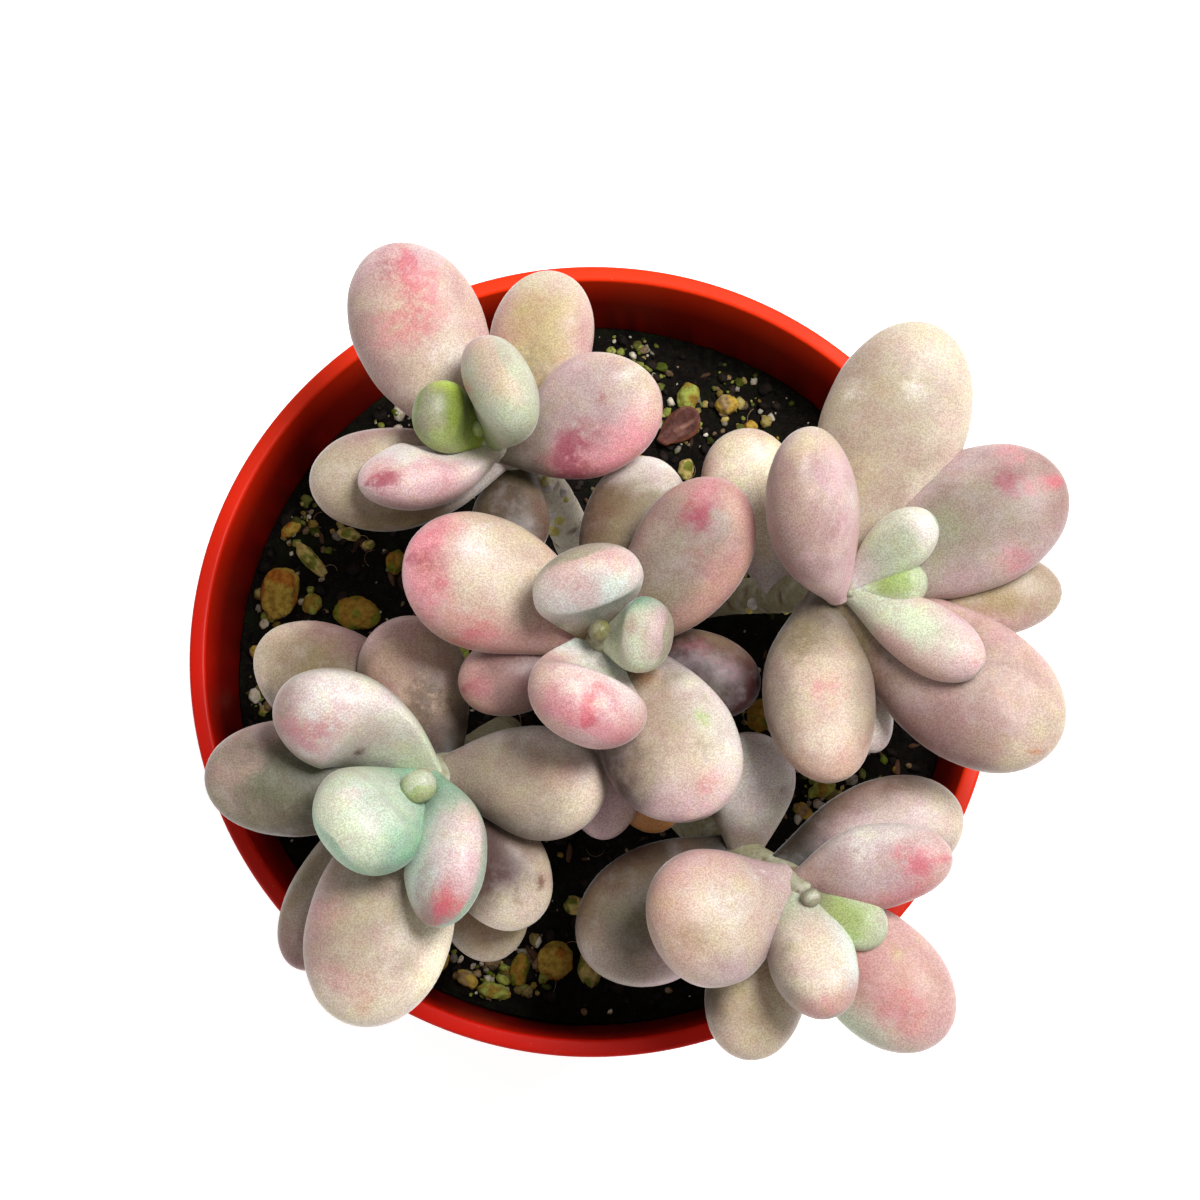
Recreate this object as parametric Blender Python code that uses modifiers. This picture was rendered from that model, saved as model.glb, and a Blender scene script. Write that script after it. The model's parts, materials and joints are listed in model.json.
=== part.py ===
"""A graptopetalum with five leafy stems, in a red plastic nursery pot filled with gritty potting mix.

Lengths are in millimetres and angles in degrees. The origin is the centre of the pot's underside,
+Z is up and -Y is the front.
"""

import math
import random
from collections import namedtuple

import bmesh
import bpy
from mathutils import Matrix, Vector, noise

MM = 0.001
FULL_TURN = 2 * math.pi
# In metres: points this close after a Boolean are made one
SLIVER = 1e-5

# Colours as linear red, green and blue
POT_RED = (0.68, 0.05, 0.015)
SOIL_BROWN = (0.022, 0.016, 0.012)
LEAF_CREAM = (0.60, 0.50, 0.44)
LITTER_BROWN = (0.16, 0.05, 0.03)

# Pot
POT_HEIGHT = 115.0
LIP_RADIUS = 75.0
LIP_WIDTH = 3.0
LIP_ROUND = 0.7
BAND_HEIGHT = 13.0
BAND_TAPER = 0.6
BAND_ROUND = 0.5
WALL = 1.8
WALL_OUT_TOP = 72.6
WALL_OUT_FOOT = 54.5
FOOT_ROUND = 1.5
FLOOR = 2.4
FLOOR_ROUND = 1.2
POT_STEPS = 56
DRAIN_HOLES = 8
DRAIN_RING = 42.0
DRAIN_RADIUS = 4.0
DRAIN_SIDES = 12

# Potting mix
WALL_GAP = 0.45
STEM_GAP = 0.35
SOIL_TOP = 97.0
SOIL_RINGS = 8
SOIL_SECTORS = 36
RING_SPACING = 0.8
RELIEF = 1.1
RELIEF_SPACING = 14.0
RELIEF_SEED = 3.7
STONE_SINK = 0.25
STONE_HEIGHT = 0.8
COARSE_STONE = 4.2
GRAINS = 22
GRAIN_LEAST = 2.4
GRAIN_MOST = 4.4
GRAIN_SEED = 11
CLEAR_OF_STEM = 9.0
CLEAR_OF_LITTER = 10.0

# Stems and leaves
STEM_BEVEL = 4
STEM_PIECES = 3
STEM_TIP = (0.9, 0.6)
ROOT_DEPTH = 12.0
RINGS = 8
SIDES = 12
SPINE_STEPS = 40
STALK_WIDTH = 0.34
STALK_DEPTH = 0.42
SHOULDER = 1.35
TIP_POWER = 2.15
TIP_END = 0.985
SIDE_POWER = 0.9
CROWN_POWER = 0.95
UPPER_SHARE = 0.9
LOWER_SHARE = 1.1
HOLLOW_FROM = 0.3
HOLLOW_OVER = 0.32
SMOOTH_ANGLE = 40.0

Stem = namedtuple("Stem", "points radius")
# depth: how far below the growing point the leaf is joined, along the stem
# azimuth, reach, climb: from there to the leaf's tip, in degrees, millimetres level and millimetres up
# roll, bend, sweep: degrees about its length, curling up along it, and turning sideways along it
# hollow: how far the upper side is flattened, from 0 to 1. widest: where it is widest, from root to tip
Leaf = namedtuple(
    "Leaf",
    "depth azimuth reach climb width thickness roll bend sweep hollow widest",
    defaults=(0, 15, 0, 0, 0.62),
)
Stone = namedtuple("Stone", "x y length width turn")

STEMS = {
    "stem_back_left": Stem([(0, 12.5, 97), (-5, 22, 122), (-12, 28.5, 138), (-19, 30, 150)], 3.8),
    "stem_middle": Stem([(5, -1.5, 97), (3.5, -4.5, 122), (2, -6, 140), (1.5, -7, 156)], 4.1),
    "stem_front_left": Stem([(-17, -14, 97), (-19, -19.5, 118), (-24, -26, 134), (-29, -31, 148)], 3.9),
    "stem_right": Stem([(19, 12, 97), (26.5, 8.5, 118), (36, 4.5, 137), (45, 2, 152)], 3.4),
    "stem_front_right": Stem([(11, -22, 97), (18, -33, 114), (26.5, -41, 130), (36, -49, 146)], 3.4),
}

LEAVES = {
    "stem_back_left": {
        "leaf_1": Leaf(6, 119, 38.5, 10, 23.3, 13, sweep=-38),
        "leaf_2": Leaf(10, 77, 33.5, 3.5, 18.6, 11),
        "leaf_3": Leaf(5, 23, 27.5, 8.5, 21.5, 12, sweep=48),
        "leaf_4": Leaf(2, 72, 8, 18.5, 20.5, 11.5, roll=-50, bend=10, hollow=0.3),
        "leaf_5": Leaf(2, 169, 11, 12.5, 12.3, 8.5, hollow=0.4),
        "leaf_6": Leaf(4, 208, 24.5, 11.5, 16.5, 11, roll=45, hollow=0.6, widest=0.5),
        "leaf_7": Leaf(8, 192, 34.5, 7, 18.4, 12, sweep=-30),
        "leaf_8": Leaf(12, 263, 19.5, 2, 14, 10),
        "bud": Leaf(0, 165, 0.7, 4, 2.8, 2.4, bend=0),
    },
    "stem_middle": {
        "leaf_1": Leaf(2.5, 108, 10, 16.5, 18.8, 11, hollow=0.8),
        "leaf_2": Leaf(2, 352, 10, 11, 12.8, 9, hollow=0.5),
        "leaf_3": Leaf(3.5, 261, 18, 13.5, 20.5, 13, roll=-20, hollow=0.9),
        "leaf_4": Leaf(6, 160, 35, 9, 23, 14, sweep=22),
        "leaf_5": Leaf(6, 53, 33, 8, 19.8, 12, sweep=45),
        "leaf_6": Leaf(7, 297, 34.5, 6, 23, 14, sweep=-25),
        "leaf_7": Leaf(11, 75, 35, -1, 18.6, 12),
        "leaf_8": Leaf(11, 344, 28, -1, 15, 11),
        "leaf_9": Leaf(10, 199, 25.5, 2, 14, 11),
        "leaf_10": Leaf(16, 270, 32.5, -6, 14, 10),
        "leaf_11": Leaf(20, 288, 32.5, -6, 15, 10),
        "bud": Leaf(0, 148, 0.2, 5, 3.8, 3.6, bend=0),
    },
    "stem_front_left": {
        "leaf_1": Leaf(4, 158, 27, 11.5, 19, 14, roll=-50, sweep=45, hollow=0.8),
        "leaf_2": Leaf(8, 181, 39, 5, 20, 12),
        "leaf_3": Leaf(13, 147, 41.5, -4, 20, 12, sweep=25),
        "leaf_4": Leaf(12, 110, 28.5, 2, 19, 12),
        "leaf_5": Leaf(7, 349, 28.5, 6.5, 19.3, 13, sweep=-35),
        "leaf_6": Leaf(3, 221, 17.5, 15.5, 19.5, 13, hollow=0.3),
        "leaf_7": Leaf(3, 276, 25, 9.5, 17, 11.5, roll=50, sweep=-40, hollow=0.3, widest=0.52),
        "leaf_8": Leaf(8, 255, 43.5, 5, 24.5, 15, sweep=25),
        "leaf_9": Leaf(12, 232, 42, -3.5, 17, 11, sweep=20),
        "leaf_10": Leaf(11, 300, 30, 2, 17, 12),
        "leaf_11": Leaf(15, 283, 33.5, -6.5, 17, 11),
        "bud": Leaf(0, 292, 0.9, 6, 6, 5.5, bend=0),
    },
    "stem_right": {
        "leaf_1": Leaf(6, 69, 48, 9, 25, 14, sweep=-6),
        "leaf_2": Leaf(6, 24, 42.5, 7, 24.3, 14, sweep=-12),
        "leaf_3": Leaf(4, 104, 25, 15.5, 22.5, 13.5, roll=55, sweep=-42, widest=0.5),
        "leaf_4": Leaf(7, 322, 45.5, 6, 25, 15),
        "leaf_5": Leaf(8, 270, 34, 10, 19, 13, sweep=34, widest=0.52),
        "leaf_6": Leaf(2, 36, 16, 10.5, 10, 9, sweep=-20),
        "leaf_7": Leaf(1.5, 2, 12, 4.5, 8, 7),
        "leaf_8": Leaf(2.5, 323, 25.5, 9, 12, 10),
        "leaf_9": Leaf(10, 0, 41.5, 0.5, 16, 11),
        "leaf_10": Leaf(10, 289, 29, -3.5, 10.5, 9),
        "leaf_11": Leaf(22, 108, 28.5, 11, 18, 11),
    },
    "stem_front_right": {
        "leaf_1": Leaf(4, 9, 25.5, 9, 14.3, 12, sweep=-15, widest=0.46),
        "leaf_2": Leaf(5, 203, 24.5, 12, 23, 15),
        "leaf_3": Leaf(3, 283, 21.5, 9.5, 14.5, 11, sweep=20, widest=0.52),
        "leaf_4": Leaf(7, 314, 36.5, 3.5, 20, 13),
        "leaf_5": Leaf(2, 329, 15.5, 3.5, 9.5, 8),
        "leaf_6": Leaf(10, 18, 34.5, -2, 18.5, 12, sweep=-20),
        "leaf_7": Leaf(9, 258, 31, -1, 17, 11),
        "leaf_8": Leaf(22, 224, 31.5, 3.5, 23, 13, sweep=45),
        "leaf_9": Leaf(20, 87, 20.5, 8, 16, 12),
        "bud": Leaf(0, 293, 1.1, 4, 3.2, 3, bend=0),
    },
}

# Shrivelled leaves on the soil: where the root end lies, then the shape
LITTER = {
    "litter_front": ((24.5, -29, 99.85), Leaf(0, 14, 12, 1.5, 7.5, 2.2, bend=70, sweep=30)),
    "litter_back": ((13.5, 44, 99.6), Leaf(0, 35, 9, 1.5, 6.5, 2.4, bend=80, sweep=-40)),
}

# Pumice that shows between the leaves
STONES = [
    Stone(-61, 14.3, 11, 7, 80),
    Stone(-55.2, 20.4, 9, 3, -48),
    Stone(-45.9, 9.7, 9.2, 6.5, -10),
    Stone(-54.8, 11.8, 4.4, 3.8, 70),
    Stone(-65.2, 2.2, 3.4, 2.6, -30),
    Stone(-59.4, 26.8, 4.2, 2.6, 35),
    Stone(-48.1, 26, 4.5, 2.6, -15),
    Stone(-38.7, 20.3, 5, 3.6, 75),
    Stone(-26.3, 1.4, 5.2, 4.2, 60),
    Stone(-31.4, -6.5, 5, 4, 20),
    Stone(-7, -57, 7.4, 6.4, 70),
    Stone(-0.6, -58.6, 6.4, 4.4, 100),
    Stone(-13.8, -58.8, 6.4, 3.6, 80),
    Stone(-18.4, -62.6, 6.2, 3, -12),
    Stone(-23.6, -60.4, 4.4, 3, -35),
    Stone(-28.6, -57, 4, 3, 60),
    Stone(-3.4, -46.7, 4.2, 3.4, -20),
    Stone(9.3, 54.6, 4.4, 3.2, 30),
    Stone(18.9, 54.2, 5.6, 4.2, 75),
    Stone(26.6, 52.5, 4.6, 4.2, 0),
    Stone(31.4, 48, 2.8, 2.6, 0),
    Stone(18.4, 39, 4.6, 3.2, 85),
    Stone(32.1, -10.4, 6.4, 5, 75),
    Stone(44.1, -24.5, 4.4, 3.4, 10),
    Stone(40.2, -28.8, 4, 2.8, -35),
]


def paint(name, colour, roughness):
    """A plain material."""
    made = bpy.data.materials.new(name)
    made.use_nodes = True
    shader = made.node_tree.nodes["Principled BSDF"]
    shader.inputs["Base Color"].default_value = (*colour, 1)
    shader.inputs["Roughness"].default_value = roughness
    shader.inputs["Metallic"].default_value = 0.0
    return made


def collection(name):
    made = bpy.data.collections.new(name)
    bpy.context.scene.collection.children.link(made)
    return made


def add_object(name, data, group):
    thing = bpy.data.objects.new(name, data)
    group.objects.link(thing)
    return thing


def add_tool(name, data, tools):
    """A helper for a Boolean, which is left out of renders."""
    thing = add_object(name, data, tools)
    thing.hide_render = True
    thing.display_type = "WIRE"
    return thing


def mesh_from(form, name):
    """A mesh of this working form, its faces turned outwards."""
    bmesh.ops.recalc_face_normals(form, faces=form.faces)
    mesh = bpy.data.meshes.new(name)
    form.to_mesh(mesh)
    form.free()
    return mesh


def evaluated_mesh(thing):
    """A mesh of the object as its modifiers leave it."""
    graph = bpy.context.evaluated_depsgraph_get()
    return bpy.data.meshes.new_from_object(thing.evaluated_get(graph))


def combine(thing, tools, operation):
    """A Boolean of all the tools with the thing, after which the tools are gone."""
    change = thing.modifiers.new("combine", "BOOLEAN")
    change.operation = operation
    change.solver = "EXACT"
    change.operand_type = "COLLECTION"
    change.collection = tools
    form = bmesh.new()
    form.from_mesh(evaluated_mesh(thing))
    bmesh.ops.remove_doubles(form, verts=form.verts, dist=SLIVER)
    thing.modifiers.clear()
    thing.data = mesh_from(form, thing.name)
    for tool in list(tools.objects):
        bpy.data.objects.remove(tool)
    bpy.data.collections.remove(tools)


def finish_object(thing, owner, material):
    """Gives the object its material and shading, and parents it."""
    thing.data.materials.clear()
    thing.data.materials.append(material)
    thing.data.shade_smooth()
    thing.data.set_sharp_from_angle(angle=math.radians(SMOOTH_ANGLE))
    thing.parent = owner


def turned(name, profile, steps, group):
    """A body turned about the Z axis from a profile of (radius, height) points that starts and ends on it."""
    mesh = bpy.data.meshes.new(name)
    points = [Vector((radius, 0, height)) * MM for radius, height in profile]
    mesh.from_pydata(points, [(at, at + 1) for at in range(len(points) - 1)], [])
    thing = add_object(name, mesh, group)
    screw = thing.modifiers.new("turn", "SCREW")
    screw.axis = "Z"
    screw.steps = steps
    screw.render_steps = steps
    screw.use_merge_vertices = True
    screw.merge_threshold = 1e-5
    form = bmesh.new()
    form.from_mesh(evaluated_mesh(thing))
    thing.modifiers.clear()
    thing.data = mesh_from(form, name)
    return thing


def arc(centre, radius, start, end, pieces=2):
    """Points of a rounded corner in a profile, from one angle to the other."""
    points = []
    for piece in range(pieces + 1):
        angle = math.radians(start + (end - start) * piece / pieces)
        points.append((centre[0] + radius * math.cos(angle), centre[1] + radius * math.sin(angle)))
    return points


def wall_inside(height):
    """The radius of the pot's inner wall at this height."""
    share = (height - FLOOR) / (POT_HEIGHT - FLOOR)
    foot, top = WALL_OUT_FOOT - WALL, LIP_RADIUS - LIP_WIDTH
    return foot + (top - foot) * share


def wall_outside(height):
    """The radius of the pot's outer wall, below the band, at this height."""
    share = (height - FOOT_ROUND) / (POT_HEIGHT - FOOT_ROUND)
    return WALL_OUT_FOOT + (WALL_OUT_TOP - WALL_OUT_FOOT) * share


def pot_profile():
    """From the middle of the floor up the inner wall, over the lip and down the outside."""
    band_foot = POT_HEIGHT - BAND_HEIGHT
    band_radius = LIP_RADIUS - BAND_TAPER
    lip_middle = POT_HEIGHT - LIP_ROUND
    profile = [(0, FLOOR), (wall_inside(FLOOR) - FLOOR_ROUND, FLOOR)]
    profile.append((wall_inside(FLOOR + FLOOR_ROUND), FLOOR + FLOOR_ROUND))
    profile += arc((wall_inside(lip_middle) + LIP_ROUND, lip_middle), LIP_ROUND, 180, 90)
    profile += arc((LIP_RADIUS - LIP_ROUND, lip_middle), LIP_ROUND, 90, 0)
    profile += arc((band_radius - BAND_ROUND, band_foot + BAND_ROUND), BAND_ROUND, 0, -90, 1)
    profile.append((wall_outside(band_foot), band_foot))
    profile += arc((WALL_OUT_FOOT - FOOT_ROUND, FOOT_ROUND), FOOT_ROUND, 0, -90)
    profile.append((0, 0))
    return profile


def drills():
    """The cutters of the ring of drain holes."""
    tools = collection("drills")
    for hole in range(DRAIN_HOLES):
        turn = FULL_TURN * hole / DRAIN_HOLES
        form = bmesh.new()
        bmesh.ops.create_cone(
            form,
            cap_ends=True,
            segments=DRAIN_SIDES,
            radius1=DRAIN_RADIUS * MM,
            radius2=DRAIN_RADIUS * MM,
            depth=3 * FLOOR * MM,
        )
        drill = add_tool("drill", mesh_from(form, "drill"), tools)
        centre = Vector((DRAIN_RING * math.cos(turn), DRAIN_RING * math.sin(turn), FLOOR / 2))
        drill.location = centre * MM
    return tools


def build_pot(group):
    pot = turned("pot", pot_profile(), POT_STEPS, group)
    combine(pot, drills(), "DIFFERENCE")
    return pot


def surface_height(x, y):
    """The soil's height at a place, with gentle hollows and mounds."""
    place = Vector((x / RELIEF_SPACING, y / RELIEF_SPACING, RELIEF_SEED))
    return SOIL_TOP + RELIEF * noise.noise(place)


def grain_stones():
    """Smaller stones scattered clear of the stems, the shrivelled leaves and each other."""
    chance = random.Random(GRAIN_SEED)
    feet = [stem.points[0] for stem in STEMS.values()]
    reach = wall_inside(SOIL_TOP) - GRAIN_MOST
    found = []
    while len(found) < GRAINS:
        away, turn = reach * math.sqrt(chance.random()), FULL_TURN * chance.random()
        x, y = away * math.cos(turn), away * math.sin(turn)
        length = chance.uniform(GRAIN_LEAST, GRAIN_MOST)
        near_stem = any(math.hypot(x - foot[0], y - foot[1]) < CLEAR_OF_STEM for foot in feet)
        near_litter = any(
            math.hypot(x - place[0] - 5, y - place[1] - 2) < CLEAR_OF_LITTER
            for place, leaf in LITTER.values()
        )
        near_stone = any(
            math.hypot(x - stone.x, y - stone.y) < (length + stone.length) / 2 + 1.0
            for stone in STONES + found
        )
        if not (near_stem or near_litter or near_stone):
            found.append(Stone(x, y, length, 0.75 * length, chance.uniform(0, 180)))
    return found


def stone_body(stone, tools):
    """One rough stone, half sunk in the soil."""
    form = bmesh.new()
    rounds = 2 if stone.width >= COARSE_STONE else 1
    bmesh.ops.create_icosphere(form, subdivisions=rounds, radius=0.5 * MM)
    height = STONE_HEIGHT * stone.width
    form.transform(Matrix.Diagonal((stone.length, stone.width, height, 1)))
    body = add_tool("stone", mesh_from(form, "stone"), tools)
    ground = surface_height(stone.x, stone.y)
    body.location = Vector((stone.x, stone.y, ground + STONE_SINK * height / 2)) * MM
    body.rotation_euler.z = math.radians(stone.turn)


def soil_block(group):
    """The body of potting mix, with an uneven top."""
    low = FLOOR + WALL_GAP
    edge = wall_inside(SOIL_TOP) - WALL_GAP
    profile = [(edge * (ring / SOIL_RINGS) ** RING_SPACING, SOIL_TOP) for ring in range(SOIL_RINGS + 1)]
    profile.append((wall_inside(low + 2) - 2 * WALL_GAP, low + 2))
    profile.append((wall_inside(low) - 2.4, low))
    profile.append((0, low))
    soil = turned("soil", profile, SOIL_SECTORS, group)
    for point in soil.data.vertices:
        x, y, height = point.co / MM
        if height > SOIL_TOP - 0.01 and math.hypot(x, y) < edge - 1:
            point.co.z = surface_height(x, y) * MM
    return soil


def build_soil(lines, group):
    soil = soil_block(group)
    stones = collection("stones")
    for stone in STONES + grain_stones():
        stone_body(stone, stones)
    combine(soil, stones, "UNION")
    holes = collection("holes")
    for name, line in lines.items():
        top = [line[0] + (line[0] - line[1]).normalized() * 2] + line[1:]
        hole = stem_tube("hole", top, STEMS[name].radius + STEM_GAP, holes, False)
        hole.hide_render = True
        hole.display_type = "WIRE"
    combine(soil, holes, "DIFFERENCE")
    return soil


def stem_line(points):
    """A smooth line through the points, carried straight on down into the soil."""
    points = [Vector(point) for point in points]
    down = (points[0] - points[1]).normalized() * ROOT_DEPTH
    ends = [points[0] + down] + points
    guides = [2 * ends[0] - ends[1]] + ends + [2 * ends[-1] - ends[-2]]
    line = []
    for at in range(1, len(guides) - 2):
        before, here, there, after = guides[at - 1 : at + 3]
        for piece in range(STEM_PIECES):
            t = piece / STEM_PIECES
            slope = (there - before) * t
            turn = (2 * before - 5 * here + 4 * there - after) * t**2
            twist = (3 * here - before - 3 * there + after) * t**3
            line.append(0.5 * (2 * here + slope + turn + twist))
    line.append(ends[-1])
    return line


def along_stem(line, depth):
    """The point on the line this far back from its upper end."""
    left = depth
    for upper, lower in zip(line[::-1], line[-2::-1]):
        step = (upper - lower).length
        if left <= step:
            return upper.lerp(lower, left / step)
        left -= step
    return line[0]


def stem_tube(name, line, radius, group, tapered):
    """A round rod along the line, with its origin at the line's lower end."""
    curve = bpy.data.curves.new(name, "CURVE")
    curve.dimensions = "3D"
    curve.bevel_depth = radius * MM
    curve.bevel_resolution = STEM_BEVEL
    curve.use_fill_caps = True
    spline = curve.splines.new("POLY")
    spline.points.add(len(line) - 1)
    for point, place in zip(spline.points, line):
        point.co = (*((place - line[0]) * MM), 1)
    if tapered:
        for point, share in zip(spline.points[-len(STEM_TIP) :], STEM_TIP):
            point.radius = share
    guide = add_object(name + "_line", curve, group)
    guide.location = line[0] * MM
    form = bmesh.new()
    form.from_mesh(evaluated_mesh(guide))
    bmesh.ops.remove_doubles(form, verts=form.verts, dist=1e-6)
    tube = add_object(name, mesh_from(form, name), group)
    tube.matrix_world = guide.matrix_world
    bpy.data.objects.remove(guide)
    return tube


def outline(u, stalk, widest):
    """Half the leaf's size at u of its length, as a share of its greatest."""
    if u <= widest:
        return stalk + (1 - stalk) * math.sin(math.pi / 2 * u / widest) ** SHOULDER
    return max(0.0, 1 - ((u - widest) / (1 - widest)) ** TIP_POWER) ** 0.5


def spine_of(leaf):
    """Places and directions along the leaf, with its root at the origin and its chord 1 long."""
    bend, sweep = math.radians(leaf.bend), math.radians(leaf.sweep)
    places, ways = [Vector((0, 0, 0))], []
    for step in range(SPINE_STEPS + 1):
        off = step / SPINE_STEPS - 0.5
        pitch, yaw = bend * off, sweep * off
        level = math.cos(pitch)
        ways.append(Vector((level * math.cos(yaw), level * math.sin(yaw), math.sin(pitch))))
    for before, after in zip(ways, ways[1:]):
        places.append(places[-1] + (before + after) / 2)
    length = places[-1].length
    return [place / length for place in places], ways


def ring_places():
    """Where the rings lie along a leaf, closer together towards both ends."""
    places = []
    for ring in range(RINGS):
        places.append(0.5 * (1 - math.cos(math.pi * (ring + 0.6) / (RINGS + 0.2))))
    places = [place * TIP_END / places[-1] for place in places]
    places[0] = 0.0
    return places


def ring_offsets(leaf, u):
    """How far each point of the ring at u lies sideways and up from the leaf's spine."""
    half_width = leaf.width / 2 * outline(u, STALK_WIDTH, leaf.widest)
    half_depth = leaf.thickness / 2 * outline(u, STALK_DEPTH, leaf.widest)
    flat = leaf.hollow * (1 - min(1.0, max(0.0, (u - HOLLOW_FROM) / HOLLOW_OVER)) ** 2)
    offsets = []
    for side in range(SIDES):
        c, s = math.cos(FULL_TURN * side / SIDES), math.sin(FULL_TURN * side / SIDES)
        wide = half_width * math.copysign(abs(c) ** SIDE_POWER, c)
        deep = half_depth * math.copysign(abs(s) ** CROWN_POWER, s)
        deep *= UPPER_SHARE * (1 - flat) if s > 0 else LOWER_SHARE
        offsets.append((wide, deep))
    return offsets


def leaf_points(leaf, chord):
    """The leaf's points in its own axes: X from root to tip, Y across and Z up."""
    places, ways = spine_of(leaf)
    points = []
    for u in ring_places():
        at = min(int(u * SPINE_STEPS), SPINE_STEPS - 1)
        share = u * SPINE_STEPS - at
        centre = places[at].lerp(places[at + 1], share) * chord
        way = ways[at].lerp(ways[at + 1], share).normalized()
        yaw = math.radians(leaf.sweep) * (u - 0.5)
        side_way = Vector((-math.sin(yaw), math.cos(yaw), 0))
        up_way = way.cross(side_way)
        for wide, deep in ring_offsets(leaf, u):
            points.append(centre + side_way * wide + up_way * deep)
    return points + [Vector((0, 0, 0)), places[-1] * chord]


def leaf_faces():
    """Faces of the rings in turn, closed at the root and at the tip."""
    faces = []
    for ring in range(RINGS - 1):
        low, high = ring * SIDES, (ring + 1) * SIDES
        for side in range(SIDES):
            after = (side + 1) % SIDES
            faces.append((low + side, low + after, high + after, high + side))
    root, tip = RINGS * SIDES, RINGS * SIDES + 1
    for side in range(SIDES):
        after = (side + 1) % SIDES
        faces.append((root, after, side))
        faces.append((tip, tip - 1 - SIDES + side, tip - 1 - SIDES + after))
    return faces


def leaf_axes(leaf):
    """The leaf's own axes, and the length of its chord."""
    turn, roll = math.radians(leaf.azimuth), math.radians(leaf.roll)
    forward = Vector((leaf.reach * math.cos(turn), leaf.reach * math.sin(turn), leaf.climb))
    chord = forward.length
    forward.normalize()
    level = Vector((-math.sin(turn), math.cos(turn), 0))
    across = level * math.cos(roll) + forward.cross(level) * math.sin(roll)
    return Matrix((forward, across, forward.cross(across))).transposed(), chord


def leaf_body(name, root, leaf, group):
    """One plump leaf with its root at the given point."""
    axes, chord = leaf_axes(leaf)
    mesh = bpy.data.meshes.new(name)
    mesh.from_pydata([point * MM for point in leaf_points(leaf, chord)], [], leaf_faces())
    form = bmesh.new()
    form.from_mesh(mesh)
    body = add_object(name, mesh_from(form, name), group)
    body.matrix_world = Matrix.Translation(Vector(root) * MM) @ axes.to_4x4()
    return body


def build_stem(name, line, group):
    stem = stem_tube(name, line, STEMS[name].radius, group, True)
    leaves = collection("leaves")
    for leaf_name, leaf in LEAVES[name].items():
        leaf_body(leaf_name, along_stem(line, leaf.depth), leaf, leaves)
    combine(stem, leaves, "UNION")
    return stem


def main():
    for thing in list(bpy.data.objects):
        bpy.data.objects.remove(thing)
    bpy.context.scene.unit_settings.scale_length = 1.0
    plastic = paint("pot_plastic", POT_RED, 0.45)
    mix = paint("potting_mix", SOIL_BROWN, 0.95)
    skin = paint("leaf_skin", LEAF_CREAM, 0.6)
    dried = paint("dried_leaf", LITTER_BROWN, 0.85)
    group = collection("potted_graptopetalum")
    owner = add_object("potted_graptopetalum", None, group)
    lines = {name: stem_line(stem.points) for name, stem in STEMS.items()}
    finish_object(build_pot(group), owner, plastic)
    finish_object(build_soil(lines, group), owner, mix)
    for name, line in lines.items():
        finish_object(build_stem(name, line, group), owner, skin)
    for name, (place, leaf) in LITTER.items():
        finish_object(leaf_body(name, place, leaf, group), owner, dried)


main()
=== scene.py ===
"""The look of the potted graptopetalum: powdery leaves, scarred stems, gritty mix and a red nursery pot.

Lengths in the tables are in millimetres and angles in degrees, as in the part's source. Blender's are metres.
"""

import json
import math
import random
from collections import namedtuple

import bmesh
import bpy
import numpy as np
from mathutils import Matrix, Vector, noise

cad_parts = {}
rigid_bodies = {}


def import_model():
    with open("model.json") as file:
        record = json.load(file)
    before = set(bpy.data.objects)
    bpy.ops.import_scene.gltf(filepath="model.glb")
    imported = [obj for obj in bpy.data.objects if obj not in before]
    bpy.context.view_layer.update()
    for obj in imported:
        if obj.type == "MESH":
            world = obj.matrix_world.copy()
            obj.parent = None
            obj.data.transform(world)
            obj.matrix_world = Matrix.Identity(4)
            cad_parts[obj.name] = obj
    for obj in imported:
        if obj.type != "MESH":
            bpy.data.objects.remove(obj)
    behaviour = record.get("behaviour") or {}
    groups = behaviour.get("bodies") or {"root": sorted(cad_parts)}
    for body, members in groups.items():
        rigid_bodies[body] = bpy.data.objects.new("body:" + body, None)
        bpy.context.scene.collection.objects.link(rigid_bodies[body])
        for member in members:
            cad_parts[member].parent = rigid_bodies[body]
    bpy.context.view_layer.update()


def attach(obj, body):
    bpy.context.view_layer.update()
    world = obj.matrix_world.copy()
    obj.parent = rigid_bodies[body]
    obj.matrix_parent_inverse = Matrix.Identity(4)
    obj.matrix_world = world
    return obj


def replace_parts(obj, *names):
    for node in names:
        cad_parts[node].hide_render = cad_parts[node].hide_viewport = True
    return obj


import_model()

MM = 0.001
FULL_TURN = 2 * math.pi
TINY = 1e-6

# Camera, light and floor
CAMERA_PLACE = (1.36, -81.47, 504.75)
CAMERA_TARGET = (1.36, 8.51, 115.0)
LENS = 64.26
SENSOR = 36.0
FLOOR_SIDE = 6000.0
# Name, place, width and power
LAMPS = [("key", (300.0, 180.0, 780.0), 330.0, 7.4), ("fill", (-450.0, -350.0, 600.0), 700.0, 0.9)]
SKY_TINT = (0.98, 0.99, 1.0, 1)
SKY_STRENGTH = 0.32
FLOOR_GLOW = 0.68
HORIZON = (0.02, 0.30)

# Pot
POT_HEIGHT = 115.0
LIP_RADIUS = 75.0
LIP_WIDTH = 3.0
LIP_ROUND = 0.7
BAND_HEIGHT = 13.0
BAND_TAPER = 0.6
BAND_ROUND = 0.5
WALL = 1.8
WALL_OUT_TOP = 72.6
WALL_OUT_FOOT = 54.5
FOOT_ROUND = 1.5
FLOOR = 2.4
FLOOR_ROUND = 1.2
POT_STEPS = 224
WALL_RINGS = 14
BASE_SHARES = (0.3, 0.6, 0.9)
DRAIN_HOLES = 8
DRAIN_RING = 42.0
DRAIN_RADIUS = 4.0
DRAIN_SIDES = 40
SHARP_ANGLE = 40.0
# Painted light and shade: the pot's red is lighter on the side that faces the key lamp and darker on the far
# side, across this reach
LIT_SIDE_WAY = (0.55, 0.84)
LIT_SIDE_REACH = 60.0
INNER_MARGIN = 0.2
OUTER_MARGIN = 0.3
LIP_BRIGHT = 0.5
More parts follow.
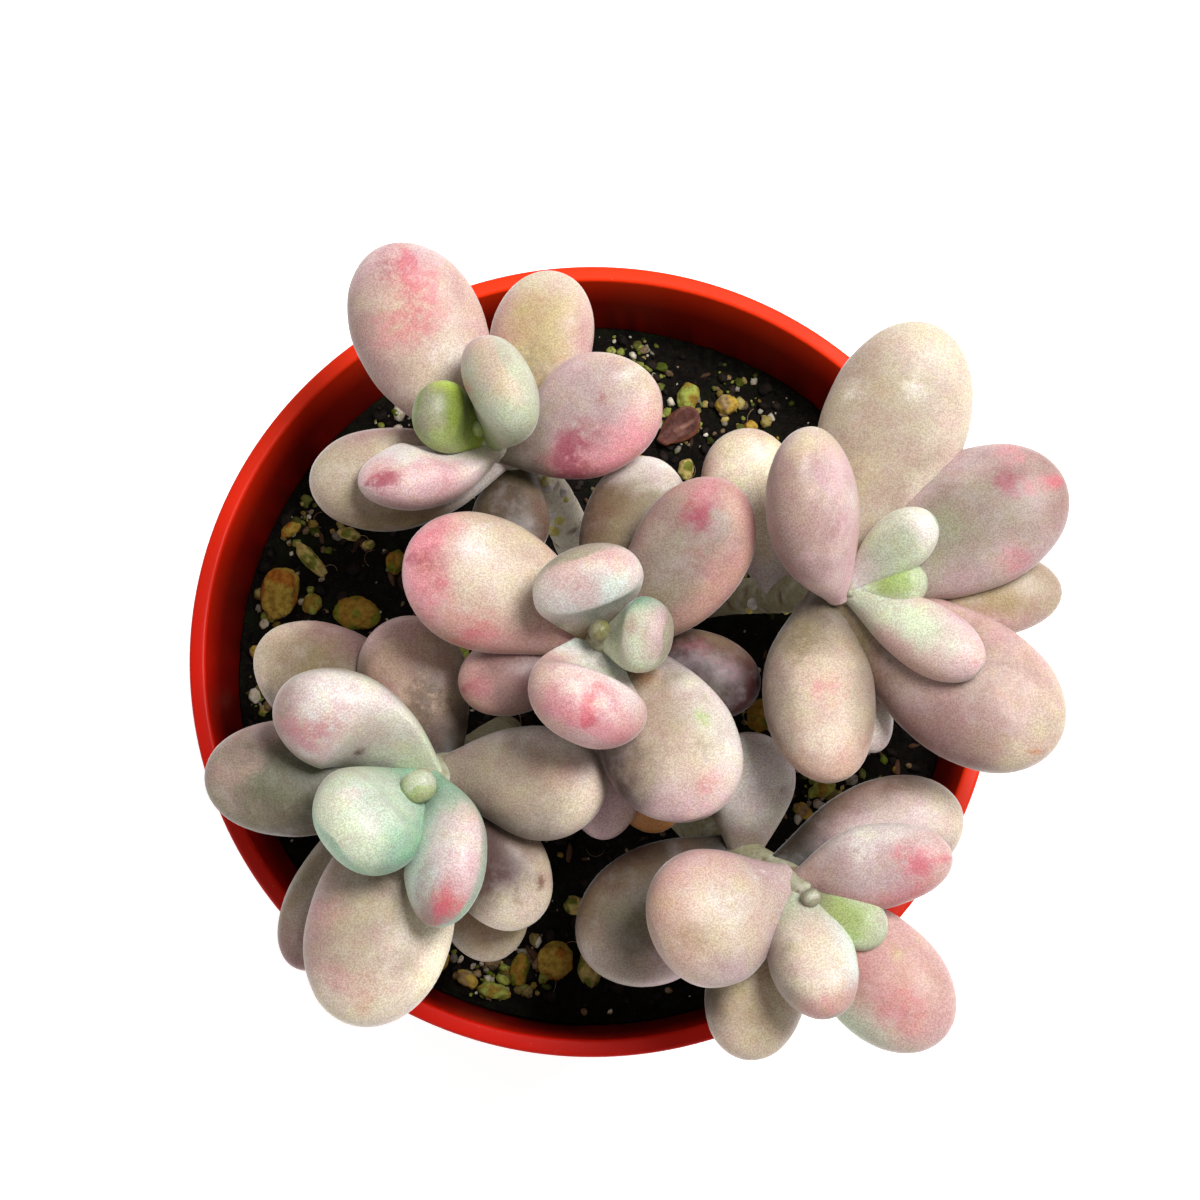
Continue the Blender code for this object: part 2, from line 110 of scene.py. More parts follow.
# Heights at which the painted shade of the inner wall and the outer wall's tint start and are full
INNER_SHADE_FADE = (POT_HEIGHT + 1, POT_HEIGHT - 7)
SIDE_FADE = (POT_HEIGHT - 1, POT_HEIGHT - 4)
INNER_SHADE_SHARE = 0.85

# Potting mix
WALL_GAP = 0.25
SOIL_TOP = 97.0
SOIL_RINGS = 150
SOIL_SECTORS = 300
SOIL_EASE = 0.75
SOIL_SIDE = (SOIL_TOP - 2.5, SOIL_TOP - 8, 60, 20)
SOIL_FOOT_ROUND = 2.0
SOIL_FOOT_INSET = 2.4
SOIL_FOOT_RING = 25.0
# Heights at which the inner wall starts to darken towards the soil and is darkest, and the ragged edge of
# that band: share, spacing and seed
SOIL_LINE_FADE = (SOIL_TOP + 5, SOIL_TOP - 0.5)
SOIL_LINE_SHARE = 0.65
SOIL_LINE_REACH = 4.0
SOIL_LINE_EDGE = ((1.0, 3.0, 5.0), (0.5, 1.0, 9.0))
RELIEF = 1.1
RELIEF_SPACING = 14.0
RELIEF_SEED = 3.7
CLOD = 0.55
CLOD_SPACING = 2.6
CLOD_FRACTAL = (0.9, 2.1, 3)
CRUMB_RELIEF = 0.22
CRUMB_SPACING = 0.9
CRUMB_OFFSET = Vector((7, 3, 1))
STONE_SINK = 0.25
STONE_LIFT = 0.25
STONE_HEIGHT = 0.8
STONE_ROUGHNESS = 0.2
LUMP_SPACING = 0.7
PIT_SPACING = 0.28
PIT_SHARE = 0.4
STAIN_BLEND = (-0.02, 0.22)
STAIN_SHARE = 0.85
STAIN_SEED = 20
GRAINS = 22
GRAIN_LEAST = 2.4
GRAIN_MOST = 4.4
GRAIN_SEED = 11
GRAIN_GAP = 1.0
GRAIN_WIDTH = 0.75
CLEAR_OF_STEM = 9.0
CLEAR_OF_LITTER = 10.0
LITTER_MIDDLE = (5.0, 2.0)
CRUMB_SEED = 23
CRUMB_SINK = 0.12
CRUMB_LIFT = 0.15
CRUMB_ROUGHNESS = 0.45
CRUMB_WIDTH = (0.6, 1.0)
CRUMB_HEIGHT = (0.5, 0.9)
CRUMB_SHADE = (0.25, 1.0)
CRUMB_CLEAR_OF_WALL = 1.6
FLAT_CRUMB = 0.5
DRIFT_LEAST = 0.5
DRIFT_MORE = 2.3
DRIFT_POWER = 1.6
DRIFT_HEIGHT = 0.8
FIBRE_SEED = 24
FIBRES = 70
FIBRE_STEPS = 8
FIBRE_STEP = 0.6
FIBRE_LIFT = 0.5
FIBRE_CURL = (-0.5, 0.5)
FIBRE_RADIUS = (0.05, 0.11)
FIBRE_SHADE = (0.4, 1.1)
FIBRE_SIDES = 5
# Any direction that no fibre runs in
FIBRE_ASIDE = (0.13, 0.2, 1.0)
FIBRE_CLEAR_OF_WALL = 7.0

# Stems and leaves
STEM_PIECES = 3
ROOT_DEPTH = 12.0
STALK_SIDES = 30
STALK_STEP = 0.45
STALK_TAPER = 5.0
STALK_REACH = 1.5
# The radius at the growing point as a share of the stem's, and what is added to it further down
STALK_SHARES = (0.55, 0.45)
STALK_SHRINK = 0.12
# Height and spacing of the swellings in a stalk
STALK_SWELL = ((0.12, 2.2), (0.05, 0.7))
# The bark's tints start and are full this far below the growing point, and at these heights
YOUNG_FADE = (22.0, 6.0)
YOUNG_SHARE = 0.7
OLD_FADE = (SOIL_TOP + 14, SOIL_TOP)
OLD_SHARE = 0.6
SCAR_SPACING = 2.3
SCAR_TURN = 137.5
SCAR_WIDTH = 1.5
SCAR_HEIGHT = 0.8
SCAR_DEPTH = 0.22
SCAR_BLEND = (1.15, 0.55)
SCAR_SHARE = 0.75
ROOT_BUD_SEED = 5
ROOT_BUD_TURNS = (-2.6, -0.3)
ROOT_BUD_RISE = 0.1
ROOT_BUD_SINK = 0.1
ROOT_BUD_SIZE = (1.2, 2.3)
ROOT_BUD_LENGTH = 1.3
ROOT_BUD_ROUGHNESS = 0.15
ROOT_BUD_TINTS = ("white", "fresh_root")
LEAF_RINGS = 46
LEAF_SIDES = 52
RING_EASE = 0.4
LAST_RING = 0.9995
SPINE_STEPS = 40
STALK_WIDTH = 0.34
STALK_DEPTH = 0.42
SHOULDER = 1.35
TIP_POWER = 2.15
SIDE_POWER = 0.9
CROWN_POWER = 0.95
UPPER_SHARE = 0.9
LOWER_SHARE = 1.1
HOLLOW_FROM = 0.3
HOLLOW_OVER = 0.32
SWELL = 0.16
SWELL_SPACING = 6.0
SWELL_MOST = 0.1
SWELL_SEED = 3.0
# Where each tint of a leaf's skin starts and is full: along the leaf, across it and round it
ROOT_BLEND = (0.48, 0.12)
TIP_BLEND = (0.74, 1.0)
SIDE_BLEND = (0.25, 0.95)
UNDER_BLEND = (-0.1, -0.6)
UNDER_SHARE = 0.75
MARK_BLEND = (1.35, 0.25)
MARK_LOWEST = -0.3
# How ragged the edges of tints are, along a leaf, across it and round a mark
END_DRIFT = 0.16
SIDE_DRIFT = 0.5
MARK_DRIFT = 0.9
# Share, spacing and seed of the noise in them, and how far it moves on from leaf to leaf
DRIFT_LAYERS = ((0.5, 7.0, 2.0), (0.3, 2.6, 4.0), (0.15, 1.0, 6.0))
DRIFT_STEP = 17.0
# The same for the creases of a shrivelled leaf
CREASE = (0.5, 2.0, 8.0)
CREASE_STRETCH = (0.6, 1.6, 1.0)
CREASE_BLEND = (0.1, 0.4)
DRY_EDGE_BLEND = (0.75, 0.98)

Stem = namedtuple("Stem", "points radius")
# depth: how far below the growing point the leaf is joined, along the stem
# azimuth, reach, climb: from there to the leaf's tip, in degrees, millimetres level and millimetres up
# roll, bend, sweep: degrees about its length, curling up along it, and turning sideways along it
# hollow: how far the upper side is flattened, from 0 to 1. widest: where it is widest, from root to tip
Leaf = namedtuple(
    "Leaf",
    "depth azimuth reach climb width thickness roll bend sweep hollow widest",
    defaults=(0, 15, 0, 0, 0.62),
)
Stone = namedtuple("Stone", "x y length width turn")

STEMS = {
    "stem_back_left": Stem([(0, 12.5, 97), (-5, 22, 122), (-12, 28.5, 138), (-19, 30, 150)], 3.8),
    "stem_middle": Stem([(5, -1.5, 97), (3.5, -4.5, 122), (2, -6, 140), (1.5, -7, 156)], 4.1),
    "stem_front_left": Stem([(-17, -14, 97), (-19, -19.5, 118), (-24, -26, 134), (-29, -31, 148)], 3.9),
    "stem_right": Stem([(19, 12, 97), (26.5, 8.5, 118), (36, 4.5, 137), (45, 2, 152)], 3.4),
    "stem_front_right": Stem([(11, -22, 97), (18, -33, 114), (26.5, -41, 130), (36, -49, 146)], 3.4),
}

# Each stem's leaves, and its bud last where it has one
LEAVES = {
    "stem_back_left": [
        Leaf(6, 119, 38.5, 10, 23.3, 13, sweep=-38),
        Leaf(10, 77, 33.5, 3.5, 18.6, 11),
        Leaf(5, 23, 27.5, 8.5, 21.5, 12, sweep=48),
        Leaf(2, 72, 8, 18.5, 20.5, 11.5, roll=-50, bend=10, hollow=0.3),
        Leaf(2, 169, 11, 12.5, 12.3, 8.5, hollow=0.4),
        Leaf(4, 208, 24.5, 11.5, 16.5, 11, roll=45, hollow=0.6, widest=0.5),
        Leaf(8, 192, 34.5, 7, 18.4, 12, sweep=-30),
        Leaf(12, 263, 19.5, 2, 14, 10),
        Leaf(0, 165, 0.7, 4, 2.8, 2.4, bend=0),
    ],
    "stem_middle": [
        Leaf(2.5, 108, 10, 16.5, 18.8, 11, hollow=0.8),
        Leaf(2, 352, 10, 11, 12.8, 9, hollow=0.5),
        Leaf(3.5, 261, 18, 13.5, 20.5, 13, roll=-20, hollow=0.9),
        Leaf(6, 160, 35, 9, 23, 14, sweep=22),
        Leaf(6, 53, 33, 8, 19.8, 12, sweep=45),
        Leaf(7, 297, 34.5, 6, 23, 14, sweep=-25),
        Leaf(11, 75, 35, -1, 18.6, 12),
        Leaf(11, 344, 28, -1, 15, 11),
        Leaf(10, 199, 25.5, 2, 14, 11),
        Leaf(16, 270, 32.5, -6, 14, 10),
        Leaf(20, 288, 32.5, -6, 15, 10),
        Leaf(0, 148, 0.2, 5, 3.8, 3.6, bend=0),
    ],
    "stem_front_left": [
        Leaf(4, 158, 27, 11.5, 19, 14, roll=-50, sweep=45, hollow=0.8),
        Leaf(8, 181, 39, 5, 20, 12),
        Leaf(13, 147, 41.5, -4, 20, 12, sweep=25),
        Leaf(12, 110, 28.5, 2, 19, 12),
        Leaf(7, 349, 28.5, 6.5, 19.3, 13, sweep=-35),
        Leaf(3, 221, 17.5, 15.5, 19.5, 13, hollow=0.3),
        Leaf(3, 276, 25, 9.5, 17, 11.5, roll=50, sweep=-40, hollow=0.3, widest=0.52),
        Leaf(8, 255, 43.5, 5, 24.5, 15, sweep=25),
        Leaf(12, 232, 42, -3.5, 17, 11, sweep=20),
        Leaf(11, 300, 30, 2, 17, 12),
        Leaf(15, 283, 33.5, -6.5, 17, 11),
        Leaf(0, 292, 0.9, 6, 6, 5.5, bend=0),
    ],
    "stem_right": [
        Leaf(6, 69, 48, 9, 25, 14, sweep=-6),
        Leaf(6, 24, 42.5, 7, 24.3, 14, sweep=-12),
        Leaf(4, 104, 25, 15.5, 22.5, 13.5, roll=55, sweep=-42, widest=0.5),
        Leaf(7, 322, 45.5, 6, 25, 15),
        Leaf(8, 270, 34, 10, 19, 13, sweep=34, widest=0.52),
        Leaf(2, 36, 16, 10.5, 10, 9, sweep=-20),
        Leaf(1.5, 2, 12, 4.5, 8, 7),
        Leaf(2.5, 323, 25.5, 9, 12, 10),
        Leaf(10, 0, 41.5, 0.5, 16, 11),
        Leaf(10, 289, 29, -3.5, 10.5, 9),
        Leaf(22, 108, 28.5, 11, 18, 11),
    ],
    "stem_front_right": [
        Leaf(4, 9, 25.5, 9, 14.3, 12, sweep=-15, widest=0.46),
        Leaf(5, 203, 24.5, 12, 23, 15),
        Leaf(3, 283, 21.5, 9.5, 14.5, 11, sweep=20, widest=0.52),
        Leaf(7, 314, 36.5, 3.5, 20, 13),
        Leaf(2, 329, 15.5, 3.5, 9.5, 8),
        Leaf(10, 18, 34.5, -2, 18.5, 12, sweep=-20),
        Leaf(9, 258, 31, -1, 17, 11),
        Leaf(22, 224, 31.5, 3.5, 23, 13, sweep=45),
        Leaf(20, 87, 20.5, 8, 16, 12),
        Leaf(0, 293, 1.1, 4, 3.2, 3, bend=0),
    ],
}

# Shrivelled leaves on the soil: where the root end lies, then the shape
LITTER = {
    "litter_front": ((24.5, -29, 99.85), Leaf(0, 14, 12, 1.5, 7.5, 2.2, bend=70, sweep=30)),
    "litter_back": ((13.5, 44, 99.6), Leaf(0, 35, 9, 1.5, 6.5, 2.4, bend=80, sweep=-40)),
}

# Pumice that shows between the leaves
STONES = [
    Stone(-61, 14.3, 11, 7, 80),
    Stone(-55.2, 20.4, 9, 3, -48),
    Stone(-45.9, 9.7, 9.2, 6.5, -10),
    Stone(-54.8, 11.8, 4.4, 3.8, 70),
    Stone(-65.2, 2.2, 3.4, 2.6, -30),
    Stone(-59.4, 26.8, 4.2, 2.6, 35),
    Stone(-48.1, 26, 4.5, 2.6, -15),
    Stone(-38.7, 20.3, 5, 3.6, 75),
    Stone(-26.3, 1.4, 5.2, 4.2, 60),
    Stone(-31.4, -6.5, 5, 4, 20),
    Stone(-7, -57, 7.4, 6.4, 70),
    Stone(-0.6, -58.6, 6.4, 4.4, 100),
    Stone(-13.8, -58.8, 6.4, 3.6, 80),
    Stone(-18.4, -62.6, 6.2, 3, -12),
    Stone(-23.6, -60.4, 4.4, 3, -35),
    Stone(-28.6, -57, 4, 3, 60),
    Stone(-3.4, -46.7, 4.2, 3.4, -20),
    Stone(9.3, 54.6, 4.4, 3.2, 30),
    Stone(18.9, 54.2, 5.6, 4.2, 75),
    Stone(26.6, 52.5, 4.6, 4.2, 0),
    Stone(31.4, 48, 2.8, 2.6, 0),
    Stone(18.4, 39, 4.6, 3.2, 85),
    Stone(32.1, -10.4, 6.4, 5, 75),
    Stone(44.1, -24.5, 4.4, 3.4, 10),
    Stone(40.2, -28.8, 4, 2.8, -35),
]

# The colour of a stone and of its stains, in turn
STONE_TINTS = [
    ("pumice", "rust"),
    ("straw", "algae"),
    ("ochre", "algae"),
    ("moss", "ochre"),
    ("pumice", "grit"),
]

# Tint, how many, shortest and longest, and height as a share of the length
CRUMBS = [
    ("clod", 800, 0.9, 2.8, 0.8),
    ("perlite", 240, 0.4, 1.3, 0.9),
    ("pumice", 90, 0.8, 2.0, 0.8),
    ("grit", 90, 0.9, 2.0, 0.8),
    ("algae", 110, 0.7, 2.0, 0.8),
    ("bark", 130, 1.6, 4.6, 0.35),
]
# Drifts of lighter crumbs: middle, reach, and how many
DRIFTS = [
    (-20.2, -60.5, 10, 70),
    (-12.0, -57.0, 7, 40),
    (28.3, 52.6, 9, 50),
    (9.4, 63.0, 8, 40),
    (-64.0, 14.0, 9, 45),
    (-63.0, -6.0, 9, 45),
    (43.5, -24.7, 9, 60),
    (-57.0, 29.0, 9, 45),
    (17.0, 49.0, 7, 40),
    (-38.5, 51.0, 9, 40),
    (34.0, -10.0, 8, 40),
]
DRIFT_TINTS = ["perlite", "moss", "algae", "perlite", "straw", "moss", "grit"]

# Colours as red, green and blue from 0 to 255, first the leaves' and then the rest
PALETTE = {
    "white": (224, 219, 216),
    "ivory": (214, 202, 186),
    "cream": (200, 184, 166),
    "sand": (175, 161, 143),
    "wheat": (182, 168, 138),
    "gold": (190, 172, 130),
    "tan": (160, 142, 106),
    "khaki": (124, 109, 82),
    "peach": (198, 168, 152),
    "blush": (202, 170, 166),
    "petal": (214, 186, 190),
    "rose": (206, 142, 150),
    "candy": (232, 162, 172),
    "coral": (204, 104, 118),
    "salmon": (190, 148, 142),
    "crimson": (158, 66, 88),
    "lilac": (188, 168, 168),
    "mauve": (164, 138, 132),
    "heather": (142, 112, 108),
    "plum": (84, 58, 54),
    "wine": (54, 22, 20),
    "moor": (98, 98, 78),
    "soot": (50, 43, 34),
    "brown": (112, 91, 75),
    "umber": (82, 68, 54),
    "ash": (148, 135, 123),
    "slate": (110, 102, 87),
    "sage": (144, 146, 122),
    "frost": (212, 226, 222),
    "milk": (210, 222, 198),
    "mint": (184, 194, 172),
    "aqua": (196, 214, 198),
    "jade": (138, 182, 156),
    "apple": (176, 206, 84),
    "fern": (118, 120, 68),
    "lime": (158, 180, 114),
    "green": (122, 144, 60),
    "olive": (84, 80, 56),
    "amber": (196, 136, 84),
    "scar": (104, 66, 44),
    # The pot's red, painted lighter and darker for the light and shade on its two sides
    "pot_lit_red": (240, 52, 14),
    # Painted shade for the pot's inner wall
    "pot_inner_shade": (88, 3, 2),
    "pot_side": (176, 22, 6),
    "pot_shade": (178, 17, 3),
    # A darker red for the inner wall just above the soil
    "soil_line_dark": (44, 8, 5),
    "peat": (30, 24, 20),
    "clod": (38, 30, 26),
    "perlite": (214, 208, 190),
    "pumice": (182, 154, 66),
    "grit": (150, 128, 96),
    "algae": (96, 112, 28),
    "moss": (150, 160, 74),
    "straw": (188, 172, 104),
    "ochre": (150, 116, 42),
    "rust": (176, 104, 36),
    "bark": (92, 66, 48),
    "fibre": (150, 128, 104),
    "bark_green": (158, 154, 120),
    "old_ivory": (250, 244, 222),
    "fresh_root": (216, 206, 112),
    "dried": (92, 46, 36),
    "dried_edge": (128, 72, 44),
    "dried_pale": (160, 116, 96),
}

# A mark's place from root (0) to tip (1) and from right edge (-1) to left (1), and its radius
Mark = namedtuple("Mark", "u v size tint strength", defaults=(0.7,))
Skin = namedtuple("Skin", "body root tip left right under marks")


def skin_of(tints, *marks):
    """A leaf's skin from the names of its six tints, in Skin's order, and its marks."""
    return Skin(*tints.split(), [Mark(*mark) for mark in marks])


# Each stem's skins, in the order of its leaves. The white and ivory marks of size 3 or more are painted
# highlights; the smaller white ones are water spots and scratches.
SKINS = {
    "stem_back_left": [
        skin_of("cream cream petal mauve blush mauve", (0.84, -0.1, 6, "coral", 0.8),
                (0.66, -0.05, 6, "coral"), (0.92, 0.35, 4, "crimson", 0.5), (0.62, 0.45, 4, "rose", 0.6),
                (0.42, -0.3, 5, "white")),
        skin_of("gold khaki ivory blush blush khaki", (0.45, 0, 5, "khaki", 0.5)),
        skin_of("lilac slate cream petal candy mauve", (0.57, -0.35, 4, "crimson", 0.55),
                (0.36, -0.8, 4.5, "crimson", 0.75), (0.72, -0.05, 3, "crimson", 0.6),
                (0.45, -0.4, 3, "crimson", 0.6), (0.9, 0.1, 4, "white")),
        skin_of("mint lime cream petal mint mint", (0.65, 0.1, 3, "coral", 0.6),
                (0.35, 0.1, 2.5, "rose", 0.5)),
        skin_of("green apple sage lime apple green"),
        skin_of("white white petal petal white mauve", (0.93, 0.2, 5, "coral", 0.4),
                (0.94, 0.75, 3, "crimson", 0.8), (0.6, 0.75, 4, "coral", 0.3)),
        skin_of("sand white sand khaki mauve brown", (0.6, -0.3, 5, "cream")),
        skin_of("umber olive mauve brown umber umber"),
        skin_of("lime green lime lime lime lime"),
    ],
    "stem_middle": [
        skin_of("frost khaki blush white white sage", (0.75, 0.1, 4, "rose", 0.4)),
        skin_of("milk milk lilac jade milk sage", (0.75, 0.1, 2.5, "peach", 0.6)),
        skin_of("white frost rose blush blush blush", (0.9, -0.1, 6, "coral", 0.9),
                (0.96, 0.2, 3.5, "crimson", 0.3), (0.25, 0, 4, "sage", 0.6)),
        skin_of("cream salmon candy salmon cream mauve", (0.93, 0.05, 5, "crimson"),
                (0.85, 0.55, 4, "coral", 0.6), (0.6, 0.75, 5, "coral", 0.6), (0.72, -0.45, 4, "white"),
                (0.9, -0.6, 3, "coral", 0.5)),
        skin_of("ash khaki salmon mauve salmon heather", (0.82, 0.1, 4.5, "crimson", 0.9),
                (0.62, -0.35, 4, "crimson", 0.35), (0.95, 0.3, 4, "rose", 0.6),
                (0.4, 0.3, 5, "ash", 0.6)),
        skin_of("sand wine petal white wine brown", (0.61, 0.55, 1.8, "lime", 0.8),
                (0.9, 0.33, 3, "coral", 0.6), (0.8, 0.1, 5, "cream"), (0.25, 0.2, 4, "amber", 0.4)),
        skin_of("khaki khaki white brown khaki umber"),
        # The eighth leaf's wine-dark body, tip and right side are partly painted shade, darker than its own
        # mauve brown where the leaves above shade it
        skin_of("wine plum wine brown wine plum", (0.55, 0.5, 3, "crimson", 0.35),
                (0.8, 0.2, 2.5, "crimson", 0.3), (0.75, -0.5, 3, "olive", 0.5)),
        skin_of("heather plum salmon heather lilac plum", (0.95, 0.2, 3, "crimson", 0.6)),
        skin_of("petal mauve petal blush peach brown"),
        skin_of("amber brown amber amber amber brown"),
        skin_of("fern fern fern fern fern sage"),
    ],
    "stem_front_left": [
        skin_of("white milk mauve sage white sage", (0.45, 0.24, 1.5, "scar", 1),
                (0.78, -0.1, 6, "rose", 0.85), (0.5, -0.3, 5, "ivory", 0.6)),
        # The second leaf's soot-dark root is painted shade under the first leaf
        skin_of("moor soot ash slate mauve brown", (0.85, -0.2, 5, "mauve", 0.6)),
        skin_of("khaki umber cream soot heather umber"),
        skin_of("peach soot blush brown sand umber", (0.38, 0, 6, "umber", 0.8)),
        skin_of("sand ash ivory white ash mauve", (0.8, 0.2, 4, "peach")),
        skin_of("aqua jade milk jade mint jade", (0.8, -0.5, 3, "white")),
        skin_of("frost jade mauve petal mint jade", (0.9, 0.75, 2.8, "coral", 0.95),
                (0.55, 0.7, 5, "white"), (0.78, 0.1, 4, "mauve", 0.5)),
        # The eighth leaf's slate root and slate mark are painted shadow under the sixth and seventh leaves,
        # and its old ivory left side and ivory mark are painted highlights
        skin_of("sand slate ivory old_ivory mauve mauve", (0.75, 0.4, 6, "ivory", 0.5),
                (0.42, 0, 6, "slate", 0.6), (0.9, 0, 4, "peach"), (0.6, -0.75, 4, "rose", 0.5),
                (0.85, -0.5, 3, "rose", 0.5)),
        skin_of("ash umber heather brown khaki umber"),
        skin_of("plum soot ivory sand umber brown", (0.85, 0.7, 1.4, "scar", 0.9)),
        skin_of("grit khaki sand tan olive umber"),
        skin_of("mint lime mint mint lime lime"),
    ],
    "stem_right": [
        skin_of("sand sand ivory sand ivory ash", (0.76, -0.08, 2.6, "white"),
                (0.67, 0.72, 2.6, "white", 0.5), (0.4, 0.2, 5, "wheat")),
        skin_of("ash mint mauve lilac lilac mauve", (0.79, 0.24, 3.5, "crimson"),
                (0.96, 0.1, 4, "coral"), (0.5, 0, 6, "sage"), (0.85, 0.8, 4, "rose"),
                (0.7, -0.85, 4, "rose"), (0.22, 0.3, 4, "lime", 0.6)),
        # The third leaf's root is its own pink, painted lighter where the leaves round it shade it
        skin_of("petal petal cream mauve lilac mauve", (0.25, -0.29, 2, "rose"),
                (0.5, 0.5, 5, "mauve", 0.6), (0.6, -0.2, 4, "white"), (0.75, 0.6, 4, "lilac")),
        # The fourth leaf's olive mark is painted shadow cast by the eighth leaf
        skin_of("mauve khaki cream blush heather mauve", (0.96, -0.6, 1.3, "amber"),
                (0.32, 0, 7, "olive", 0.8), (0.75, 0.2, 6, "peach", 0.6), (0.7, 0.6, 4, "ivory", 0.5)),
        skin_of("cream slate peach ash ash mauve", (0.6, 0.08, 3.4, "rose"), (0.85, -0.3, 4, "ivory"),
                (0.32, -0.4, 6, "khaki", 0.8)),
        skin_of("mint white white milk milk jade"),
        skin_of("lime milk mint lime milk lime"),
        skin_of("milk mint petal petal blush sage", (0.95, -0.2, 2.5, "rose", 0.5)),
        skin_of("tan khaki sand tan blush khaki"),
        skin_of("ivory brown white white mauve mauve"),
        skin_of("old_ivory white cream peach gold tan"),
    ],
    "stem_front_right": [
        skin_of("lilac mauve blush white rose mauve", (0.83, -0.2, 5, "coral", 0.9),
                (0.5, 0.5, 4, "white")),
        skin_of("cream lilac peach lilac blush mauve", (0.6, 0, 6, "white", 0.5),
                (0.85, 0.3, 5, "tan", 0.6), (0.22, -0.5, 1.2, "white", 1), (0.3, -0.35, 1.1, "white", 1)),
        skin_of("ivory mint salmon frost ash ash", (0.95, -0.3, 1.8, "rose"),
                (0.7, 0.2, 4, "ivory", 0.6)),
        skin_of("salmon salmon blush blush mint mauve", (0.6, 0.37, 1.8, "gold", 0.9),
                (0.8, -0.2, 6, "coral", 0.5), (0.8, 0.5, 4, "peach")),
        skin_of("lime sage mint mint milk lime"),
        skin_of("lilac soot ivory brown ash brown"),
        skin_of("wheat sand cream ivory umber brown"),
        skin_of("slate soot ash petal brown umber", (0.6, 0.1, 5, "sage", 0.35)),
        # The ninth leaf's white body and tip are painted light, lighter than its own colour, where its
        # neighbours shade it
        skin_of("white ash white umber white brown", (0.6, -0.7, 0.8, "scar", 0.6)),
        skin_of("sage lime mint sage sage sage"),
    ],
}
# The back left stem's bark is its own pale cream, painted lighter still where the leaves above shade it
BARKS = dict.fromkeys(STEMS, "bark_green") | {"stem_back_left": "old_ivory"}
# Stem, nearest and furthest below its top, and how many
ROOT_BUDS = [("stem_back_left", 14, 34, 11), ("stem_right", 20, 34, 4)]


# Helpers


def place(x, y, z):
    """A point in metres from millimetres."""
    return Vector((x, y, z)) * MM


def polar(radius, turn):
    """How far along X and Y a point at this distance and angle lies."""
    return radius * math.cos(turn), radius * math.sin(turn)


def circle(radius, height, steps):
    """Points round the Z axis."""
    return [(*polar(radius, FULL_TURN * step / steps), height) for step in range(steps)]


def spot_within(chance, reach):
    """A chance place at most this far from the Z axis."""
    away = reach * math.sqrt(chance.random())
    return polar(away, FULL_TURN * chance.random())


def linear(colour):
    """Linear light of a colour from 0 to 255."""
    shares = [value / 255 for value in colour]
    return tuple(s / 12.92 if s <= 0.04045 else ((s + 0.055) / 1.055) ** 2.4 for s in shares)


def tint(name):
    return np.array(linear(PALETTE[name]))


def smooth(low, high, value):
    """0 on low's side, 1 on high's side, and an even curve between."""
    share = np.clip((value - low) / (high - low), 0, 1)
    return share * share * (3 - 2 * share)


def blend(first, second, share):
    """Colours of many points, moved from the first towards the second."""
    share = np.asarray(share)[..., None]
    return first * (1 - share) + second * share


def grain_of(points, spacing, seed=0.0):
    """Noise from -1 to 1 at points in millimetres, with features about this far apart."""
    offset = Vector((seed, 1.7 * seed, -seed))
    flat = points.reshape(-1, 3) / spacing
    values = [noise.noise(Vector(point) + offset) for point in flat.tolist()]
    return np.array(values).reshape(points.shape[:-1])


def grains_of(points, layers):
    """Several layers of that noise, each with a share, a spacing and a seed."""
    return sum(share * grain_of(points, spacing, seed) for share, spacing, seed in layers)


def add_object(name, data):
    thing = bpy.data.objects.new(name, data)
    bpy.context.scene.collection.objects.link(thing)
    return thing


def mesh_from(form, name):
    mesh = bpy.data.meshes.new(name)
    form.to_mesh(mesh)
    form.free()
    return mesh


def add_colours(mesh, name, colours):
    layer = mesh.color_attributes.new(name, "FLOAT_COLOR", "POINT")
    values = np.ones((len(mesh.vertices), 4), np.float32)
    values[:, : colours.shape[1]] = colours
    layer.data.foreach_set("color", values.ravel())


def add_mesh(name, points, faces, tones, material):
    """A piece of the object from points in millimetres.

    Each point has a colour, and on leaves also the colour and the strength of the marks there.
    """
    mesh = bpy.data.meshes.new(name)
    mesh.from_pydata((np.asarray(points) * MM).tolist(), [], faces)
    add_colours(mesh, "tone", tones[:, :3])
    if tones.shape[1] > 3:
        add_colours(mesh, "mark", tones[:, 3:])
    form = bmesh.new()
    form.from_mesh(mesh)
    bmesh.ops.recalc_face_normals(form, faces=form.faces)
    form.to_mesh(mesh)
    form.free()
    mesh.shade_smooth()
    mesh.materials.append(material)
    piece = add_object(name, mesh)
    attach(piece, "root")
    return piece


def closed_tube_faces(rings, sides):
    """Faces that join rings of points in turn, with both ends closed by points that come after the rings."""
    faces = []
    for ring in range(rings - 1):
        low, high = ring * sides, (ring + 1) * sides
        for side in range(sides):
            after = (side + 1) % sides
            faces.append((low + side, low + after, high + after, high + side))
    first = rings * sides
    top = (rings - 1) * sides
    for side in range(sides):
        after = (side + 1) % sides
        faces.append((first, after, side))
        faces.append((first + 1, top + side, top + after))
    return faces


# Materials


